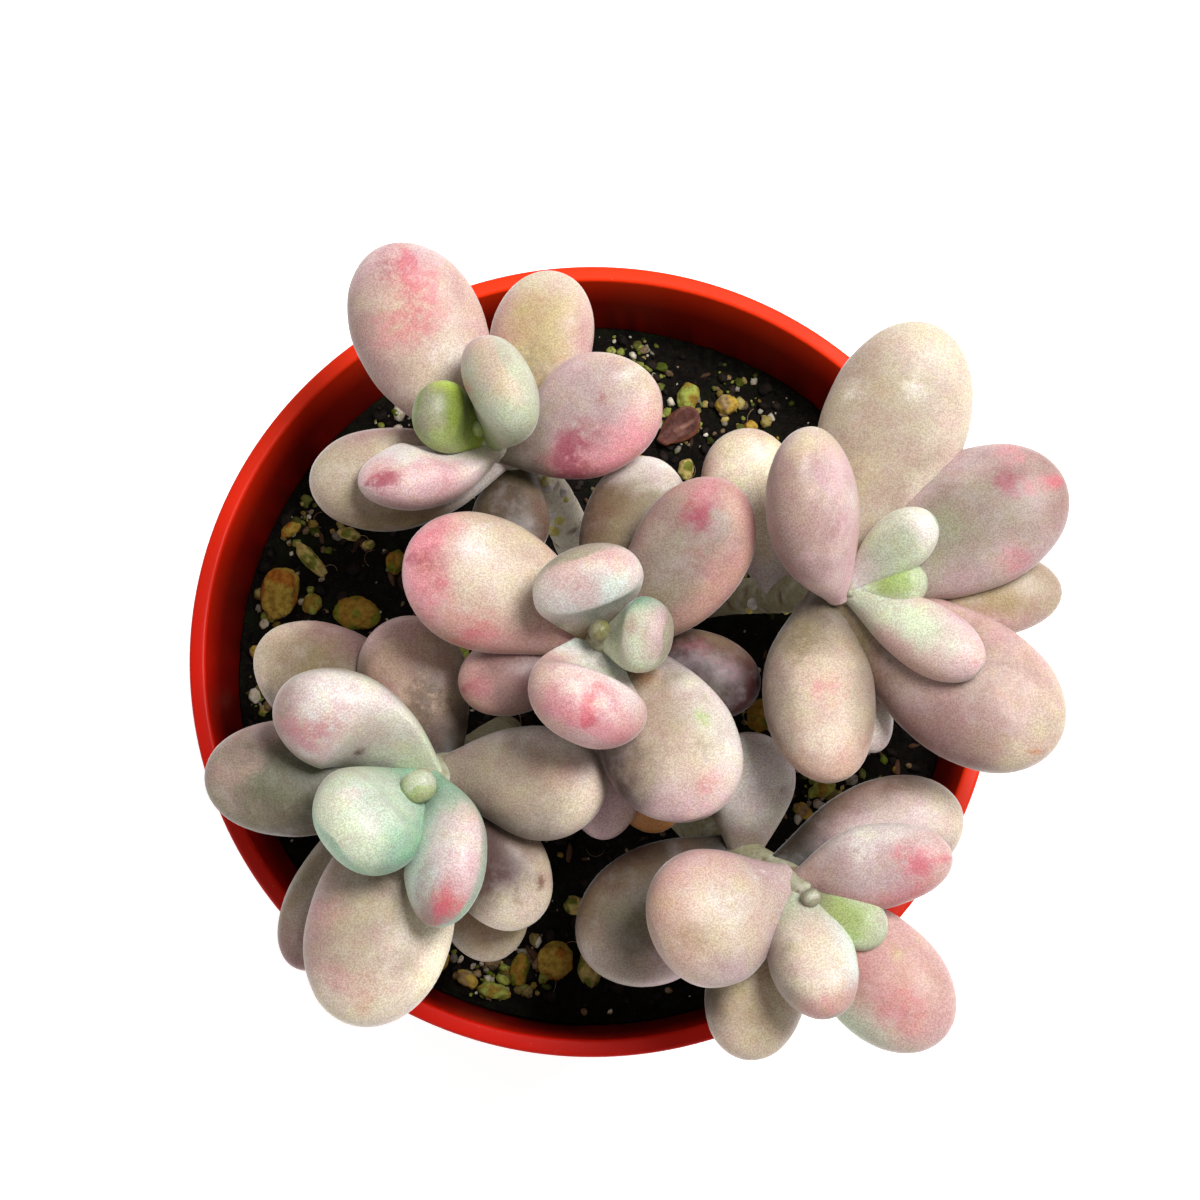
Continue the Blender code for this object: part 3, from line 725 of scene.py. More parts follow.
class Nodes:
    """Makes and joins the nodes of one material, with constants for its shader."""

    def __init__(self, name, **constants):
        self.material = bpy.data.materials.new(name)
        self.material.use_nodes = True
        self.tree = self.material.node_tree
        self.shader = self.tree.nodes["Principled BSDF"]
        for socket, value in constants.items():
            self.shader.inputs[socket.replace("_", " ")].default_value = value
        self.place = self.add("ShaderNodeTexCoord").outputs["Object"]

    def put(self, socket, value):
        """Gives a socket a number, a colour or another node's output."""
        if isinstance(value, bpy.types.NodeSocket):
            self.tree.links.new(value, socket)
        else:
            socket.default_value = (*value, 1) if isinstance(value, tuple) else value

    def add(self, kind, **inputs):
        made = self.tree.nodes.new(kind)
        for name, value in inputs.items():
            self.put(made.inputs[name.replace("_", " ")], value)
        return made

    def colours(self, name):
        """The colour that the mesh holds under this name, and its strength."""
        made = self.add("ShaderNodeVertexColor")
        made.layer_name = name
        return made.outputs["Color"], made.outputs["Alpha"]

    def tone(self):
        return self.colours("tone")[0]

    def noise(self, spacing, detail=3.0, roughness=0.55):
        """Noise with features about this many millimetres apart."""
        made = self.add("ShaderNodeTexNoise", Scale=1 / (spacing * MM), Vector=self.place)
        made.inputs["Detail"].default_value = detail
        made.inputs["Roughness"].default_value = roughness
        return made.outputs["Fac"]

    def cells(self, spacing):
        """Distance from the nearest of many scattered points, about this many millimetres apart."""
        made = self.add("ShaderNodeTexVoronoi", Scale=1 / (spacing * MM), Vector=self.place)
        return made.outputs["Distance"]

    def ramp(self, value, low, high, first=0.0, last=1.0):
        """The value from low to high, stretched from first to last and held outside them."""
        made = self.add("ShaderNodeMapRange", Value=value, From_Min=low, From_Max=high)
        self.put(made.inputs["To Min"], first)
        self.put(made.inputs["To Max"], last)
        return made.outputs["Result"]

    def mix(self, kind, share, first, second):
        made = self.add("ShaderNodeMix")
        made.data_type = "RGBA"
        made.blend_type = kind
        for at, value in ((0, share), (6, first), (7, second)):
            self.put(made.inputs[at], value)
        return made.outputs[2]

    def math(self, kind, first, second):
        made = self.add("ShaderNodeMath")
        made.operation = kind
        self.put(made.inputs[0], first)
        self.put(made.inputs[1], second)
        return made.outputs[0]

    def worn(self, wear, share, colour):
        """The mesh's own tone, multiplied by the colour by a share of the wear."""
        return self.mix("MULTIPLY", self.math("MULTIPLY", wear, share), self.tone(), colour)

    def patches(self, skin, colour, grain, low, high, most, kind="MULTIPLY"):
        """The colour laid over the skin where noise of this grain rises from low to high."""
        return self.mix(kind, self.ramp(self.noise(*grain), low, high, 0.0, most), skin, colour)

    def bump(self, height, depth, strength=1.0):
        """Relief of this many millimetres, from a height between 0 and 1."""
        made = self.add("ShaderNodeBump", Strength=strength, Distance=depth * MM, Height=height)
        self.put(self.shader.inputs["Normal"], made.outputs["Normal"])

    def finish(self, colour, roughness):
        """Joins up the colour and the roughness, and gives the material."""
        self.put(self.shader.inputs["Base Color"], colour)
        self.put(self.shader.inputs["Roughness"], roughness)
        return self.material


def leaf_material():
    """Waxy skin under a thin bloom, finely stippled, with flushes of colour, painted highlights and painted
    shadows that break up at their edges.
    """
    nodes = Nodes(
        "powdery_leaf",
        Subsurface_Weight=0.15,
        Subsurface_Radius=(1.0, 0.55, 0.35),
        Subsurface_Scale=0.0018,
        Sheen_Weight=0.42,
        Sheen_Roughness=0.25,
        Specular_IOR_Level=0.4,
    )
    flush_and_painted_light, strength = nodes.colours("mark")
    mottle = nodes.math("ADD", nodes.noise(2.0, 5.0, 0.68), nodes.math("MULTIPLY", strength, 0.22))
    broken = nodes.ramp(mottle, 0.46, 0.68, 0.15, 1.0)
    skin = nodes.mix("MIX", nodes.math("MULTIPLY", strength, broken), nodes.tone(), flush_and_painted_light)
    dull = nodes.noise(5.5, 4.0)
    skin = nodes.mix("MULTIPLY", nodes.ramp(dull, 0.36, 0.56, 0.40, 0.0), skin, (0.76, 0.64, 0.58))
    # Rosy, then yellowish green, then dark specks, then a thin cloud of bloom
    skin = nodes.patches(skin, (1.0, 0.84, 0.92), (4.5, 5.0, 0.72), 0.46, 0.62, 0.6)
    skin = nodes.patches(skin, (0.96, 0.99, 0.78), (5.5, 5.0, 0.72), 0.46, 0.62, 0.7)
    skin = nodes.patches(skin, (0.62, 0.53, 0.47), (0.28, 2.0, 0.7), 0.44, 0.56, 0.70)
    skin = nodes.patches(skin, (0.74, 0.69, 0.72), (6.0, 6.0, 0.74), 0.50, 0.66, 0.10, "MIX")
    nodes.bump(nodes.noise(0.5, 3.0), 0.025, 0.7)
    return nodes.finish(skin, nodes.ramp(dull, 0.35, 0.65, 0.40, 0.54))


def stalk_material():
    """Green bark with a corky skin under a little powder."""
    nodes = Nodes("scarred_stem")
    cork = nodes.ramp(nodes.noise(0.8, 4.0, 0.65), 0.45, 0.68)
    skin = nodes.worn(cork, 0.55, (0.58, 0.44, 0.32))
    skin = nodes.patches(skin, (0.72, 0.70, 0.62), (2.4, 4.0), 0.50, 0.70, 0.35, "MIX")
    nodes.bump(nodes.noise(0.5, 4.0), 0.08)
    return nodes.finish(skin, nodes.ramp(cork, 0.0, 1.0, 0.55, 0.8))


def soil_material():
    """Dark damp peat with brown shreds and a green cast in patches."""
    nodes = Nodes("peat", Specular_IOR_Level=0.08)
    lumps = nodes.noise(1.4, 6.0, 0.7)
    peat = nodes.mix("MIX", nodes.ramp(lumps, 0.35, 0.72), (0.001, 0.001, 0.001), (0.012, 0.009, 0.006))
    peat = nodes.patches(peat, (0.036, 0.026, 0.016), (0.5, 3.0), 0.60, 0.74, 0.8, "MIX")
    peat = nodes.patches(peat, (0.012, 0.022, 0.005), (7.0, 3.0), 0.52, 0.72, 0.4, "MIX")
    nodes.bump(nodes.noise(0.35, 6.0, 0.75), 0.35)
    return nodes.finish(peat, nodes.ramp(lumps, 0.3, 0.7, 0.7, 0.95))


def grit_material():
    """Grains, stones and shreds in their own colours, pitted and stained."""
    nodes = Nodes("worn_grit", Specular_IOR_Level=0.15)
    stain = nodes.ramp(nodes.noise(1.1, 4.0, 0.65), 0.42, 0.68)
    skin = nodes.worn(stain, 0.8, (0.45, 0.28, 0.12))
    pits = nodes.ramp(nodes.cells(0.45), 0.05, 0.35)
    skin = nodes.mix("MULTIPLY", nodes.ramp(pits, 1.0, 0.0, 0.0, 0.55), skin, (0.35, 0.28, 0.2))
    nodes.bump(pits, 0.12)
    return nodes.finish(skin, 0.8)


def litter_material():
    """Dry wrinkled leaf skin."""
    nodes = Nodes("dry_leaf")
    mottle = nodes.ramp(nodes.noise(1.6, 5.0, 0.65), 0.40, 0.65)
    skin = nodes.worn(mottle, 0.75, (0.45, 0.30, 0.26))
    nodes.bump(nodes.noise(0.6, 5.0, 0.7), 0.3)
    return nodes.finish(skin, nodes.ramp(mottle, 0.0, 1.0, 0.5, 0.8))


def pot_material():
    """Moulded red plastic with fine scuffs and dust."""
    nodes = Nodes("red_plastic", Specular_IOR_Level=0.12)
    cloudy = nodes.ramp(nodes.noise(14.0, 4.0), 0.35, 0.68)
    skin = nodes.worn(cloudy, 0.22, (0.72, 0.55, 0.50))
    skin = nodes.patches(skin, (0.62, 0.24, 0.14), (0.7, 3.0, 0.7), 0.66, 0.78, 0.16, "MIX")
    scuffs = nodes.ramp(nodes.cells(3.4), 0.0, 0.045, 0.4, 0.0)
    skin = nodes.mix("MIX", scuffs, skin, (0.70, 0.36, 0.26))
    nodes.bump(nodes.noise(1.2, 3.0), 0.03, 0.7)
    return nodes.finish(skin, nodes.ramp(cloudy, 0.0, 1.0, 0.36, 0.5))


def floor_material():
    """A plain pale table that glows a little, as paper on a light box does."""
    nodes = Nodes("pale_floor", Emission_Color=(1, 1, 1, 1), Emission_Strength=FLOOR_GLOW)
    pale = nodes.mix("MIX", nodes.ramp(nodes.noise(40.0), 0.3, 0.7), (0.93, 0.93, 0.92), (0.95, 0.95, 0.945))
    return nodes.finish(pale, 0.8)


# Pot


def arc(centre, radius, start, end, pieces=5):
    """Points of a rounded corner in a profile, from one angle to the other."""
    points = []
    for piece in range(pieces + 1):
        right, up = polar(radius, math.radians(start + (end - start) * piece / pieces))
        points.append((centre[0] + right, centre[1] + up))
    return points


def wall_inside(height):
    """The radius of the pot's inner wall at this height."""
    share = (height - FLOOR) / (POT_HEIGHT - FLOOR)
    foot, top = WALL_OUT_FOOT - WALL, LIP_RADIUS - LIP_WIDTH
    return foot + (top - foot) * share


def wall_outside(height):
    """The radius of the pot's outer wall, below the band, at this height."""
    share = (height - FOOT_ROUND) / (POT_HEIGHT - FOOT_ROUND)
    return WALL_OUT_FOOT + (WALL_OUT_TOP - WALL_OUT_FOOT) * share


def pot_profile():
    """From the middle of the floor up the inner wall, over the lip and down the outside."""
    band_foot = POT_HEIGHT - BAND_HEIGHT
    band_radius = LIP_RADIUS - BAND_TAPER
    lip_middle = POT_HEIGHT - LIP_ROUND
    floor_radius = wall_inside(FLOOR)
    profile = [(0.0, FLOOR)] + [(floor_radius * share, FLOOR) for share in BASE_SHARES]
    profile += arc((floor_radius - FLOOR_ROUND, FLOOR + FLOOR_ROUND), FLOOR_ROUND, -90, -8)
    for ring in range(1, WALL_RINGS):
        height = FLOOR + FLOOR_ROUND + (lip_middle - FLOOR - FLOOR_ROUND) * ring / WALL_RINGS
        profile.append((wall_inside(height), height))
    profile += arc((wall_inside(lip_middle) + LIP_ROUND, lip_middle), LIP_ROUND, 180, 90)
    profile += arc((LIP_RADIUS - LIP_ROUND, lip_middle), LIP_ROUND, 90, 0)
    profile += arc((band_radius - BAND_ROUND, band_foot + BAND_ROUND), BAND_ROUND, 0, -90)
    for ring in range(WALL_RINGS + 1):
        height = band_foot + (FOOT_ROUND - band_foot) * ring / WALL_RINGS
        profile.append((wall_outside(height), height))
    profile += arc((WALL_OUT_FOOT - FOOT_ROUND, FOOT_ROUND), FOOT_ROUND, 0, -90)[1:]
    return profile + [(WALL_OUT_FOOT * share, 0.0) for share in BASE_SHARES[::-1]] + [(0.0, 0.0)]


def turned(profile, steps):
    """Points and faces of a profile turned about the Z axis, its two ends on the axis."""
    rings = profile[1:-1]
    points = []
    for radius, height in rings:
        points += circle(radius, height, steps)
    points += [(0, 0, profile[0][1]), (0, 0, profile[-1][1])]
    return np.array(points), closed_tube_faces(len(rings), steps)


def pot_tones(points):
    """Painted light on the pot's side towards the key lamp and painted shade on the far side, painted shade
    down the inner wall, and a ragged darker band on the inner wall just above the soil.
    """
    radius = np.hypot(points[:, 0], points[:, 1])
    height = points[:, 2]
    # Painted light and shade: lighter red towards the key lamp, darker away from it
    lit_side = points[:, 0] * LIT_SIDE_WAY[0] + points[:, 1] * LIT_SIDE_WAY[1]
    tones = blend(tint("pot_shade"), tint("pot_lit_red"), smooth(-LIT_SIDE_REACH, LIT_SIDE_REACH, lit_side))
    # Painted shade down the inner wall, from just under the lip
    inner = (radius < wall_inside(height) + INNER_MARGIN) & (height < POT_HEIGHT - LIP_BRIGHT)
    deep = np.where(inner, smooth(*INNER_SHADE_FADE, height), 0)
    tones = blend(tones, tint("pot_inner_shade"), INNER_SHADE_SHARE * deep)
    outer = radius > wall_inside(height) + OUTER_MARGIN
    tones = blend(tones, tint("pot_side"), np.where(outer, smooth(*SIDE_FADE, height), 0))
    # Darker towards the soil on the inner wall, with a ragged edge
    ragged = height + SOIL_LINE_REACH * grains_of(points, SOIL_LINE_EDGE)
    soil_line_dark = np.where(inner, smooth(*SOIL_LINE_FADE, ragged), 0)
    return blend(tones, tint("soil_line_dark"), SOIL_LINE_SHARE * soil_line_dark)


def drain_drills():
    """A collection of rods, one through each drain hole."""
    drills = bpy.data.collections.new("drills")
    bpy.context.scene.collection.children.link(drills)
    size = DRAIN_RADIUS * MM
    depth = 3 * FLOOR * MM
    for hole in range(DRAIN_HOLES):
        form = bmesh.new()
        bmesh.ops.create_cone(
            form, cap_ends=True, segments=DRAIN_SIDES, radius1=size, radius2=size, depth=depth
        )
        drill = bpy.data.objects.new("drill", mesh_from(form, "drill"))
        drills.objects.link(drill)
        drill.location = place(*polar(DRAIN_RING, FULL_TURN * hole / DRAIN_HOLES), FLOOR / 2)
    return drills


def build_pot(material):
    """The turned pot, with its drain holes cut."""
    points, faces = turned(pot_profile(), POT_STEPS)
    pot = add_mesh("nursery_pot", points, faces, pot_tones(points), material)
    drills = drain_drills()
    cut = pot.modifiers.new("drain", "BOOLEAN")
    cut.operation = "DIFFERENCE"
    cut.operand_type = "COLLECTION"
    cut.collection = drills
    cut.solver = "EXACT"
    graph = bpy.context.evaluated_depsgraph_get()
    mesh = bpy.data.meshes.new_from_object(pot.evaluated_get(graph))
    pot.modifiers.clear()
    pot.data = mesh
    mesh.set_sharp_from_angle(angle=math.radians(SHARP_ANGLE))
    for drill in list(drills.objects):
        bpy.data.objects.remove(drill)
    bpy.data.collections.remove(drills)
    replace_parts(pot, "pot")


# Potting mix


def surface_height(x, y):
    """The soil's height at a place, with gentle hollows and mounds."""
    spot = Vector((x / RELIEF_SPACING, y / RELIEF_SPACING, RELIEF_SEED))
    return SOIL_TOP + RELIEF * noise.noise(spot)


def cloddy_height(x, y):
    """The same with the clods and crumbs of the loose mix."""
    spot = Vector((x, y, 0))
    clods = noise.fractal(spot / CLOD_SPACING, *CLOD_FRACTAL)
    crumbs = noise.noise(spot / CRUMB_SPACING + CRUMB_OFFSET)
    return surface_height(x, y) + CLOD * clods + CRUMB_RELIEF * crumbs


def build_soil(material):
    """The peat that fills the pot, finest at its surface."""
    low = FLOOR + WALL_GAP
    edge = wall_inside(SOIL_TOP) - WALL_GAP
    points = []
    for ring in range(1, SOIL_RINGS + 1):
        radius = edge * (ring / SOIL_RINGS) ** SOIL_EASE
        points += [(x, y, cloddy_height(x, y)) for x, y, _ in circle(radius, 0, SOIL_SECTORS)]
    lower = [(wall_inside(height) - WALL_GAP, height) for height in (*SOIL_SIDE, low + SOIL_FOOT_ROUND)]
    lower += [(wall_inside(low) - SOIL_FOOT_INSET, low), (SOIL_FOOT_RING, low)]
    for radius, height in lower:
        points += circle(radius, height, SOIL_SECTORS)
    points += [(0, 0, cloddy_height(0, 0)), (0, 0, low)]
    faces = closed_tube_faces(SOIL_RINGS + len(lower), SOIL_SECTORS)
    tones = np.tile(tint("peat"), (len(points), 1))
    soil = add_mesh("peat_mix", np.array(points), faces, tones, material)
    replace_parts(soil, "soil")


def is_clear(x, y, length, stones):
    """Whether a stone of this length can lie here, clear of stems, shrivelled leaves and other stones."""
    keep = [(*stem.points[0][:2], CLEAR_OF_STEM) for stem in STEMS.values()]
    for foot, _ in LITTER.values():
        keep.append((foot[0] + LITTER_MIDDLE[0], foot[1] + LITTER_MIDDLE[1], CLEAR_OF_LITTER))
    keep += [(stone.x, stone.y, (length + stone.length) / 2 + GRAIN_GAP) for stone in stones]
    return all(math.hypot(x - there[0], y - there[1]) >= there[2] for there in keep)


def grain_stones():
    """Smaller stones scattered over the mix."""
    chance = random.Random(GRAIN_SEED)
    reach = wall_inside(SOIL_TOP) - GRAIN_MOST
    found = []
    while len(found) < GRAINS:
        x, y = spot_within(chance, reach)
        length = chance.uniform(GRAIN_LEAST, GRAIN_MOST)
        if is_clear(x, y, length, STONES + found):
            found.append(Stone(x, y, length, GRAIN_WIDTH * length, chance.uniform(0, 180)))
    return found


def ball(rounds):
    """Points on a sphere of radius 1 and the triangles between them."""
    form = bmesh.new()
    bmesh.ops.create_icosphere(form, subdivisions=rounds, radius=1.0)
    points = np.array([vertex.co for vertex in form.verts])
    faces = [tuple(vertex.index for vertex in face.verts) for face in form.faces]
    form.free()
    return points, faces


class Heap:
    """Many small closed shapes, gathered into one piece."""

    def __init__(self):
        self.points, self.tones, self.faces, self.count = [], [], [], 0

    def add(self, points, faces, tones):
        self.points.append(points)
        self.tones.append(np.broadcast_to(tones, (len(points), np.shape(tones)[-1])))
        self.faces += [tuple(corner + self.count for corner in face) for face in faces]
        self.count += len(points)

    def build(self, name, material):
        points, tones = np.vstack(self.points), np.vstack(self.tones)
        return add_mesh(name, points, self.faces, tones, material)


def rough_stone(shape, sizes, turn, centre, roughness, seed):
    """A lumpy stone of these sizes, turned about Z by this many degrees."""
    lumps = 1 + roughness * grain_of(shape, LUMP_SPACING, seed)
    lumps = lumps + PIT_SHARE * roughness * grain_of(shape, PIT_SPACING, seed + 3)
    points = shape * lumps[:, None] * np.array(sizes) / 2
    cos, sin = polar(1, math.radians(turn))
    return points @ np.array([[cos, sin, 0], [-sin, cos, 0], [0, 0, 1]]) + np.array(centre)


def build_stones(material):
    """Pumice, stained orange and green in places."""
    shape, faces = ball(4)
    heap = Heap()
    for at, stone in enumerate(STONES + grain_stones()):
        height = STONE_HEIGHT * stone.width
        centre = (stone.x, stone.y, surface_height(stone.x, stone.y) + STONE_SINK * height / 2 + STONE_LIFT)
        sizes = (stone.length, stone.width, height)
        points = rough_stone(shape, sizes, stone.turn, centre, STONE_ROUGHNESS, at)
        body, stained = STONE_TINTS[at % len(STONE_TINTS)]
        stain = smooth(*STAIN_BLEND, grain_of(points, 0.5 * stone.width, STAIN_SEED + at))
        tones = blend(np.tile(tint(body), (len(points), 1)), tint(stained), STAIN_SHARE * stain)
        heap.add(points, faces, tones)
    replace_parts(heap.build("pumice", material), "soil")


def add_crumb(heap, chance, form, spot, length, share, colour):
    """A crumb of chance width, height, shape and shade on the mix."""
    shape, faces = form
    width = length * (share if share < FLAT_CRUMB else chance.uniform(*CRUMB_WIDTH))
    height = length * share * chance.uniform(*CRUMB_HEIGHT)
    centre = (*spot, surface_height(*spot) + CRUMB_SINK * height + CRUMB_LIFT)
    turn, seed = chance.uniform(0, 360), chance.uniform(0, 99)
    points = rough_stone(shape, (length, width, height), turn, centre, CRUMB_ROUGHNESS, seed)
    heap.add(points, faces, tint(colour) * chance.uniform(*CRUMB_SHADE))


def build_crumbs(material):
    """The loose top of the mix: peat, perlite, grit, moss and shreds of bark."""
    chance = random.Random(CRUMB_SEED)
    heap = Heap()
    form = ball(2)
    reach = wall_inside(SOIL_TOP) - CRUMB_CLEAR_OF_WALL
    for colour, count, least, most, share in CRUMBS:
        for _ in range(count):
            spot = spot_within(chance, reach)
            length = least + (most - least) * chance.random() ** 2
            add_crumb(heap, chance, form, spot, length, share, colour)
    for x, y, spread, count in DRIFTS:
        for _ in range(count):
            away = spread * chance.random()
            dx, dy = polar(away, FULL_TURN * chance.random())
            spot = Vector((x + dx, y + dy))
            if spot.length < reach:
                length = DRIFT_LEAST + DRIFT_MORE * chance.random() ** DRIFT_POWER
                add_crumb(heap, chance, form, spot, length, DRIFT_HEIGHT, chance.choice(DRIFT_TINTS))
    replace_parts(heap.build("crumbs", material), "soil")


def thread(path, radius):
    """Points and faces of a thin round thread along the path."""
    path = np.array(path)
    ways = np.gradient(path, axis=0)
    ways /= np.linalg.norm(ways, axis=1)[:, None]
    across = np.cross(ways, FIBRE_ASIDE)
    across /= np.linalg.norm(across, axis=1)[:, None]
    third = np.cross(ways, across)
    points = []
    for centre, first, second in zip(path, across, third):
        for side in range(FIBRE_SIDES):
            turn = FULL_TURN * side / FIBRE_SIDES
            points.append(centre + radius * (first * math.cos(turn) + second * math.sin(turn)))
    points += [path[0], path[-1]]
    return np.array(points), closed_tube_faces(len(path), FIBRE_SIDES)


def fibre_path(chance, reach):
    """A short curling line that arches over the mix."""
    x, y = spot_within(chance, reach)
    way, curl = FULL_TURN * chance.random(), chance.uniform(*FIBRE_CURL)
    path = []
    for step in range(FIBRE_STEPS + 1):
        lift = FIBRE_LIFT + FIBRE_LIFT * math.sin(math.pi * step / FIBRE_STEPS)
        path.append((x, y, surface_height(x, y) + lift))
        x, y = x + FIBRE_STEP * math.cos(way), y + FIBRE_STEP * math.sin(way)
        way += curl
    return path


def build_fibres(material):
    """Fine roots and fibres on top of the mix."""
    chance = random.Random(FIBRE_SEED)
    heap = Heap()
    reach = wall_inside(SOIL_TOP) - FIBRE_CLEAR_OF_WALL
    for _ in range(FIBRES):
        path = fibre_path(chance, reach)
        points, faces = thread(path, chance.uniform(*FIBRE_RADIUS))
        heap.add(points, faces, tint("fibre") * chance.uniform(*FIBRE_SHADE))
    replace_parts(heap.build("fibres", material), "soil")


# Stems


def stem_line(points):
    """A smooth line through the points, carried straight on down into the soil."""
    points = [Vector(point) for point in points]
    down = (points[0] - points[1]).normalized() * ROOT_DEPTH
    ends = [points[0] + down] + points
    guides = [2 * ends[0] - ends[1]] + ends + [2 * ends[-1] - ends[-2]]
    line = []
    for at in range(1, len(guides) - 2):
        before, here, there, after = guides[at - 1 : at + 3]
        for piece in range(STEM_PIECES):
            t = piece / STEM_PIECES
            slope = (there - before) * t
            turn = (2 * before - 5 * here + 4 * there - after) * t**2
            twist = (3 * here - before - 3 * there + after) * t**3
            line.append(0.5 * (2 * here + slope + turn + twist))
    line.append(ends[-1])
    return line


def along_stem(line, depth):
    """The point on the line this far back from its upper end."""
    left = depth
    for upper, lower in zip(line[::-1], line[-2::-1]):
        step = (upper - lower).length
        if left <= step:
            return upper.lerp(lower, left / step)
        left -= step
    return line[0]


def scar_relief(height, turn, radius):
    """How strongly a leaf scar shows at a height along the stem and an angle round it, from 0 to 1."""
    strongest = 0.0
    nearest = round(height / SCAR_SPACING)
    for scar in range(nearest - 2, nearest + 3):
        around = (turn - math.radians(SCAR_TURN) * scar + math.pi) % FULL_TURN - math.pi
        off = math.hypot(around * radius / SCAR_WIDTH, (height - scar * SCAR_SPACING) / SCAR_HEIGHT)
        strongest = max(strongest, float(smooth(*SCAR_BLEND, off)))
    return strongest


def bark_tone(name, below, height, scar):
    """Green near the growing point, brown near the soil and in the scars."""
    young = float(smooth(*YOUNG_FADE, below))
    bark = blend(tint(BARKS[name]), tint("sage"), YOUNG_SHARE * young)
    old = float(smooth(*OLD_FADE, height))
    bark = blend(bark, tint("bark"), OLD_SHARE * old)
    return blend(bark, tint("scar"), SCAR_SHARE * scar)


def build_stalk(name, line, radius, material):
    """A stem with a ring of bark round each scar that a fallen leaf left."""
    length = sum((after - before).length for before, after in zip(line, line[1:]))
    rings = int(length / STALK_STEP)
    points, tones = [], []
    for ring in range(rings + 1):
        below = length * (1 - ring / rings)
        centre = along_stem(line, below)
        upper = along_stem(line, max(0.0, below - STALK_REACH))
        along = (upper - along_stem(line, min(length, below + STALK_REACH))).normalized()
        across = along.cross(Vector((0, 1, 0))).normalized()
        third = along.cross(across)
        taper = STALK_SHARES[0] + STALK_SHARES[1] * min(1.0, below / STALK_TAPER)
        for side in range(STALK_SIDES):
            turn = FULL_TURN * side / STALK_SIDES
            way = across * math.cos(turn) + third * math.sin(turn)
            spot = centre + way * radius
            swell = sum(height * noise.noise(spot / spacing) for height, spacing in STALK_SWELL)
            scar = scar_relief(below, turn, radius)
            points.append(centre + way * (radius * taper - STALK_SHRINK + swell - SCAR_DEPTH * scar))
            tones.append(bark_tone(name, below, centre.z, scar))
    points += [line[0], line[-1]]
    tones += [tint("bark"), tint("sage")]
    faces = closed_tube_faces(rings + 1, STALK_SIDES)
    piece = add_mesh("stalk" + name[4:], np.array(points), faces, np.array(tones), material)
    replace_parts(piece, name)


def build_root_buds(lines, material):
    """Short new aerial roots that stand out of two of the stems."""
    chance = random.Random(ROOT_BUD_SEED)
    shape, faces = ball(3)
    heap = Heap()
    for name, lowest, highest, count in ROOT_BUDS:
        for bud in range(count):
            centre = along_stem(lines[name], lowest + (highest - lowest) * bud / count)
            way = Vector((*polar(1, chance.uniform(*ROOT_BUD_TURNS)), ROOT_BUD_RISE))
            spot = centre + way * (STEMS[name].radius - ROOT_BUD_SINK)
            size = chance.uniform(*ROOT_BUD_SIZE)
            sizes = (size, size, ROOT_BUD_LENGTH * size)
            points = rough_stone(shape, sizes, 0, spot, ROOT_BUD_ROUGHNESS, bud)
            heap.add(points, faces, tint(ROOT_BUD_TINTS[bud % 2]))
    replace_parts(heap.build("aerial_roots", material), *[row[0] for row in ROOT_BUDS])


# Leaves


def outline(u, stalk, widest):
    """Half the leaf's size at u of its length, as a share of its greatest."""
    if u <= widest:
        return stalk + (1 - stalk) * math.sin(math.pi / 2 * u / widest) ** SHOULDER
    return max(0.0, 1 - ((u - widest) / (1 - widest)) ** TIP_POWER) ** 0.5


def spine_of(leaf):
    """Places and directions along the leaf, with its root at the origin and its chord 1 long."""
    bend, sweep = math.radians(leaf.bend), math.radians(leaf.sweep)
    places, ways = [Vector((0, 0, 0))], []
    for step in range(SPINE_STEPS + 1):
        off = step / SPINE_STEPS - 0.5
        pitch = bend * off
        ways.append(Vector((*polar(math.cos(pitch), sweep * off), math.sin(pitch))))
    for before, after in zip(ways, ways[1:]):
        places.append(places[-1] + (before + after) / 2)
    length = places[-1].length
    return [spot / length for spot in places], ways


def leaf_axes(leaf):
    """The leaf's own axes, and the length of its chord."""
    turn, roll = math.radians(leaf.azimuth), math.radians(leaf.roll)
    forward = Vector((*polar(leaf.reach, turn), leaf.climb))
    chord = forward.length
    forward.normalize()
    level = Vector((-math.sin(turn), math.cos(turn), 0))
    across = level * math.cos(roll) + forward.cross(level) * math.sin(roll)
    return Matrix((forward, across, forward.cross(across))).transposed(), chord


def leaf_rings():
    """Where the rings lie along a leaf, closer together towards both ends."""
    shares = 0.5 * (1 - np.cos(math.pi * np.arange(LEAF_RINGS) / (LEAF_RINGS - RING_EASE)))
    return shares * LAST_RING / shares[-1]


def leaf_surface(leaf, chord):
    """Points of each ring in the leaf's own axes, with the place across and the upward share of each side."""
    places, ways = spine_of(leaf)
    around = FULL_TURN * np.arange(LEAF_SIDES) / LEAF_SIDES
    c, s = np.cos(around), np.sin(around)
    across = np.copysign(np.abs(c) ** SIDE_POWER, c)
    upward = np.copysign(np.abs(s) ** CROWN_POWER, s)
    points = np.zeros((LEAF_RINGS, LEAF_SIDES, 3))
    for ring, u in enumerate(leaf_rings()):
        at = min(int(u * SPINE_STEPS), SPINE_STEPS - 1)
        share = u * SPINE_STEPS - at
        centre = places[at].lerp(places[at + 1], share) * chord
        way = ways[at].lerp(ways[at + 1], share).normalized()
        yaw = math.radians(leaf.sweep) * (u - 0.5)
        side_way = Vector((-math.sin(yaw), math.cos(yaw), 0))
        half_width = leaf.width / 2 * outline(u, STALK_WIDTH, leaf.widest)
        half_depth = leaf.thickness / 2 * outline(u, STALK_DEPTH, leaf.widest)
        flat = leaf.hollow * (1 - min(1.0, max(0.0, (u - HOLLOW_FROM) / HOLLOW_OVER)) ** 2)
        deep = half_depth * upward * np.where(upward > 0, UPPER_SHARE * (1 - flat), LOWER_SHARE)
        offsets = np.outer(half_width * across, side_way) + np.outer(deep, way.cross(side_way))
        points[ring] = np.array(centre) + offsets
    return points, across, upward


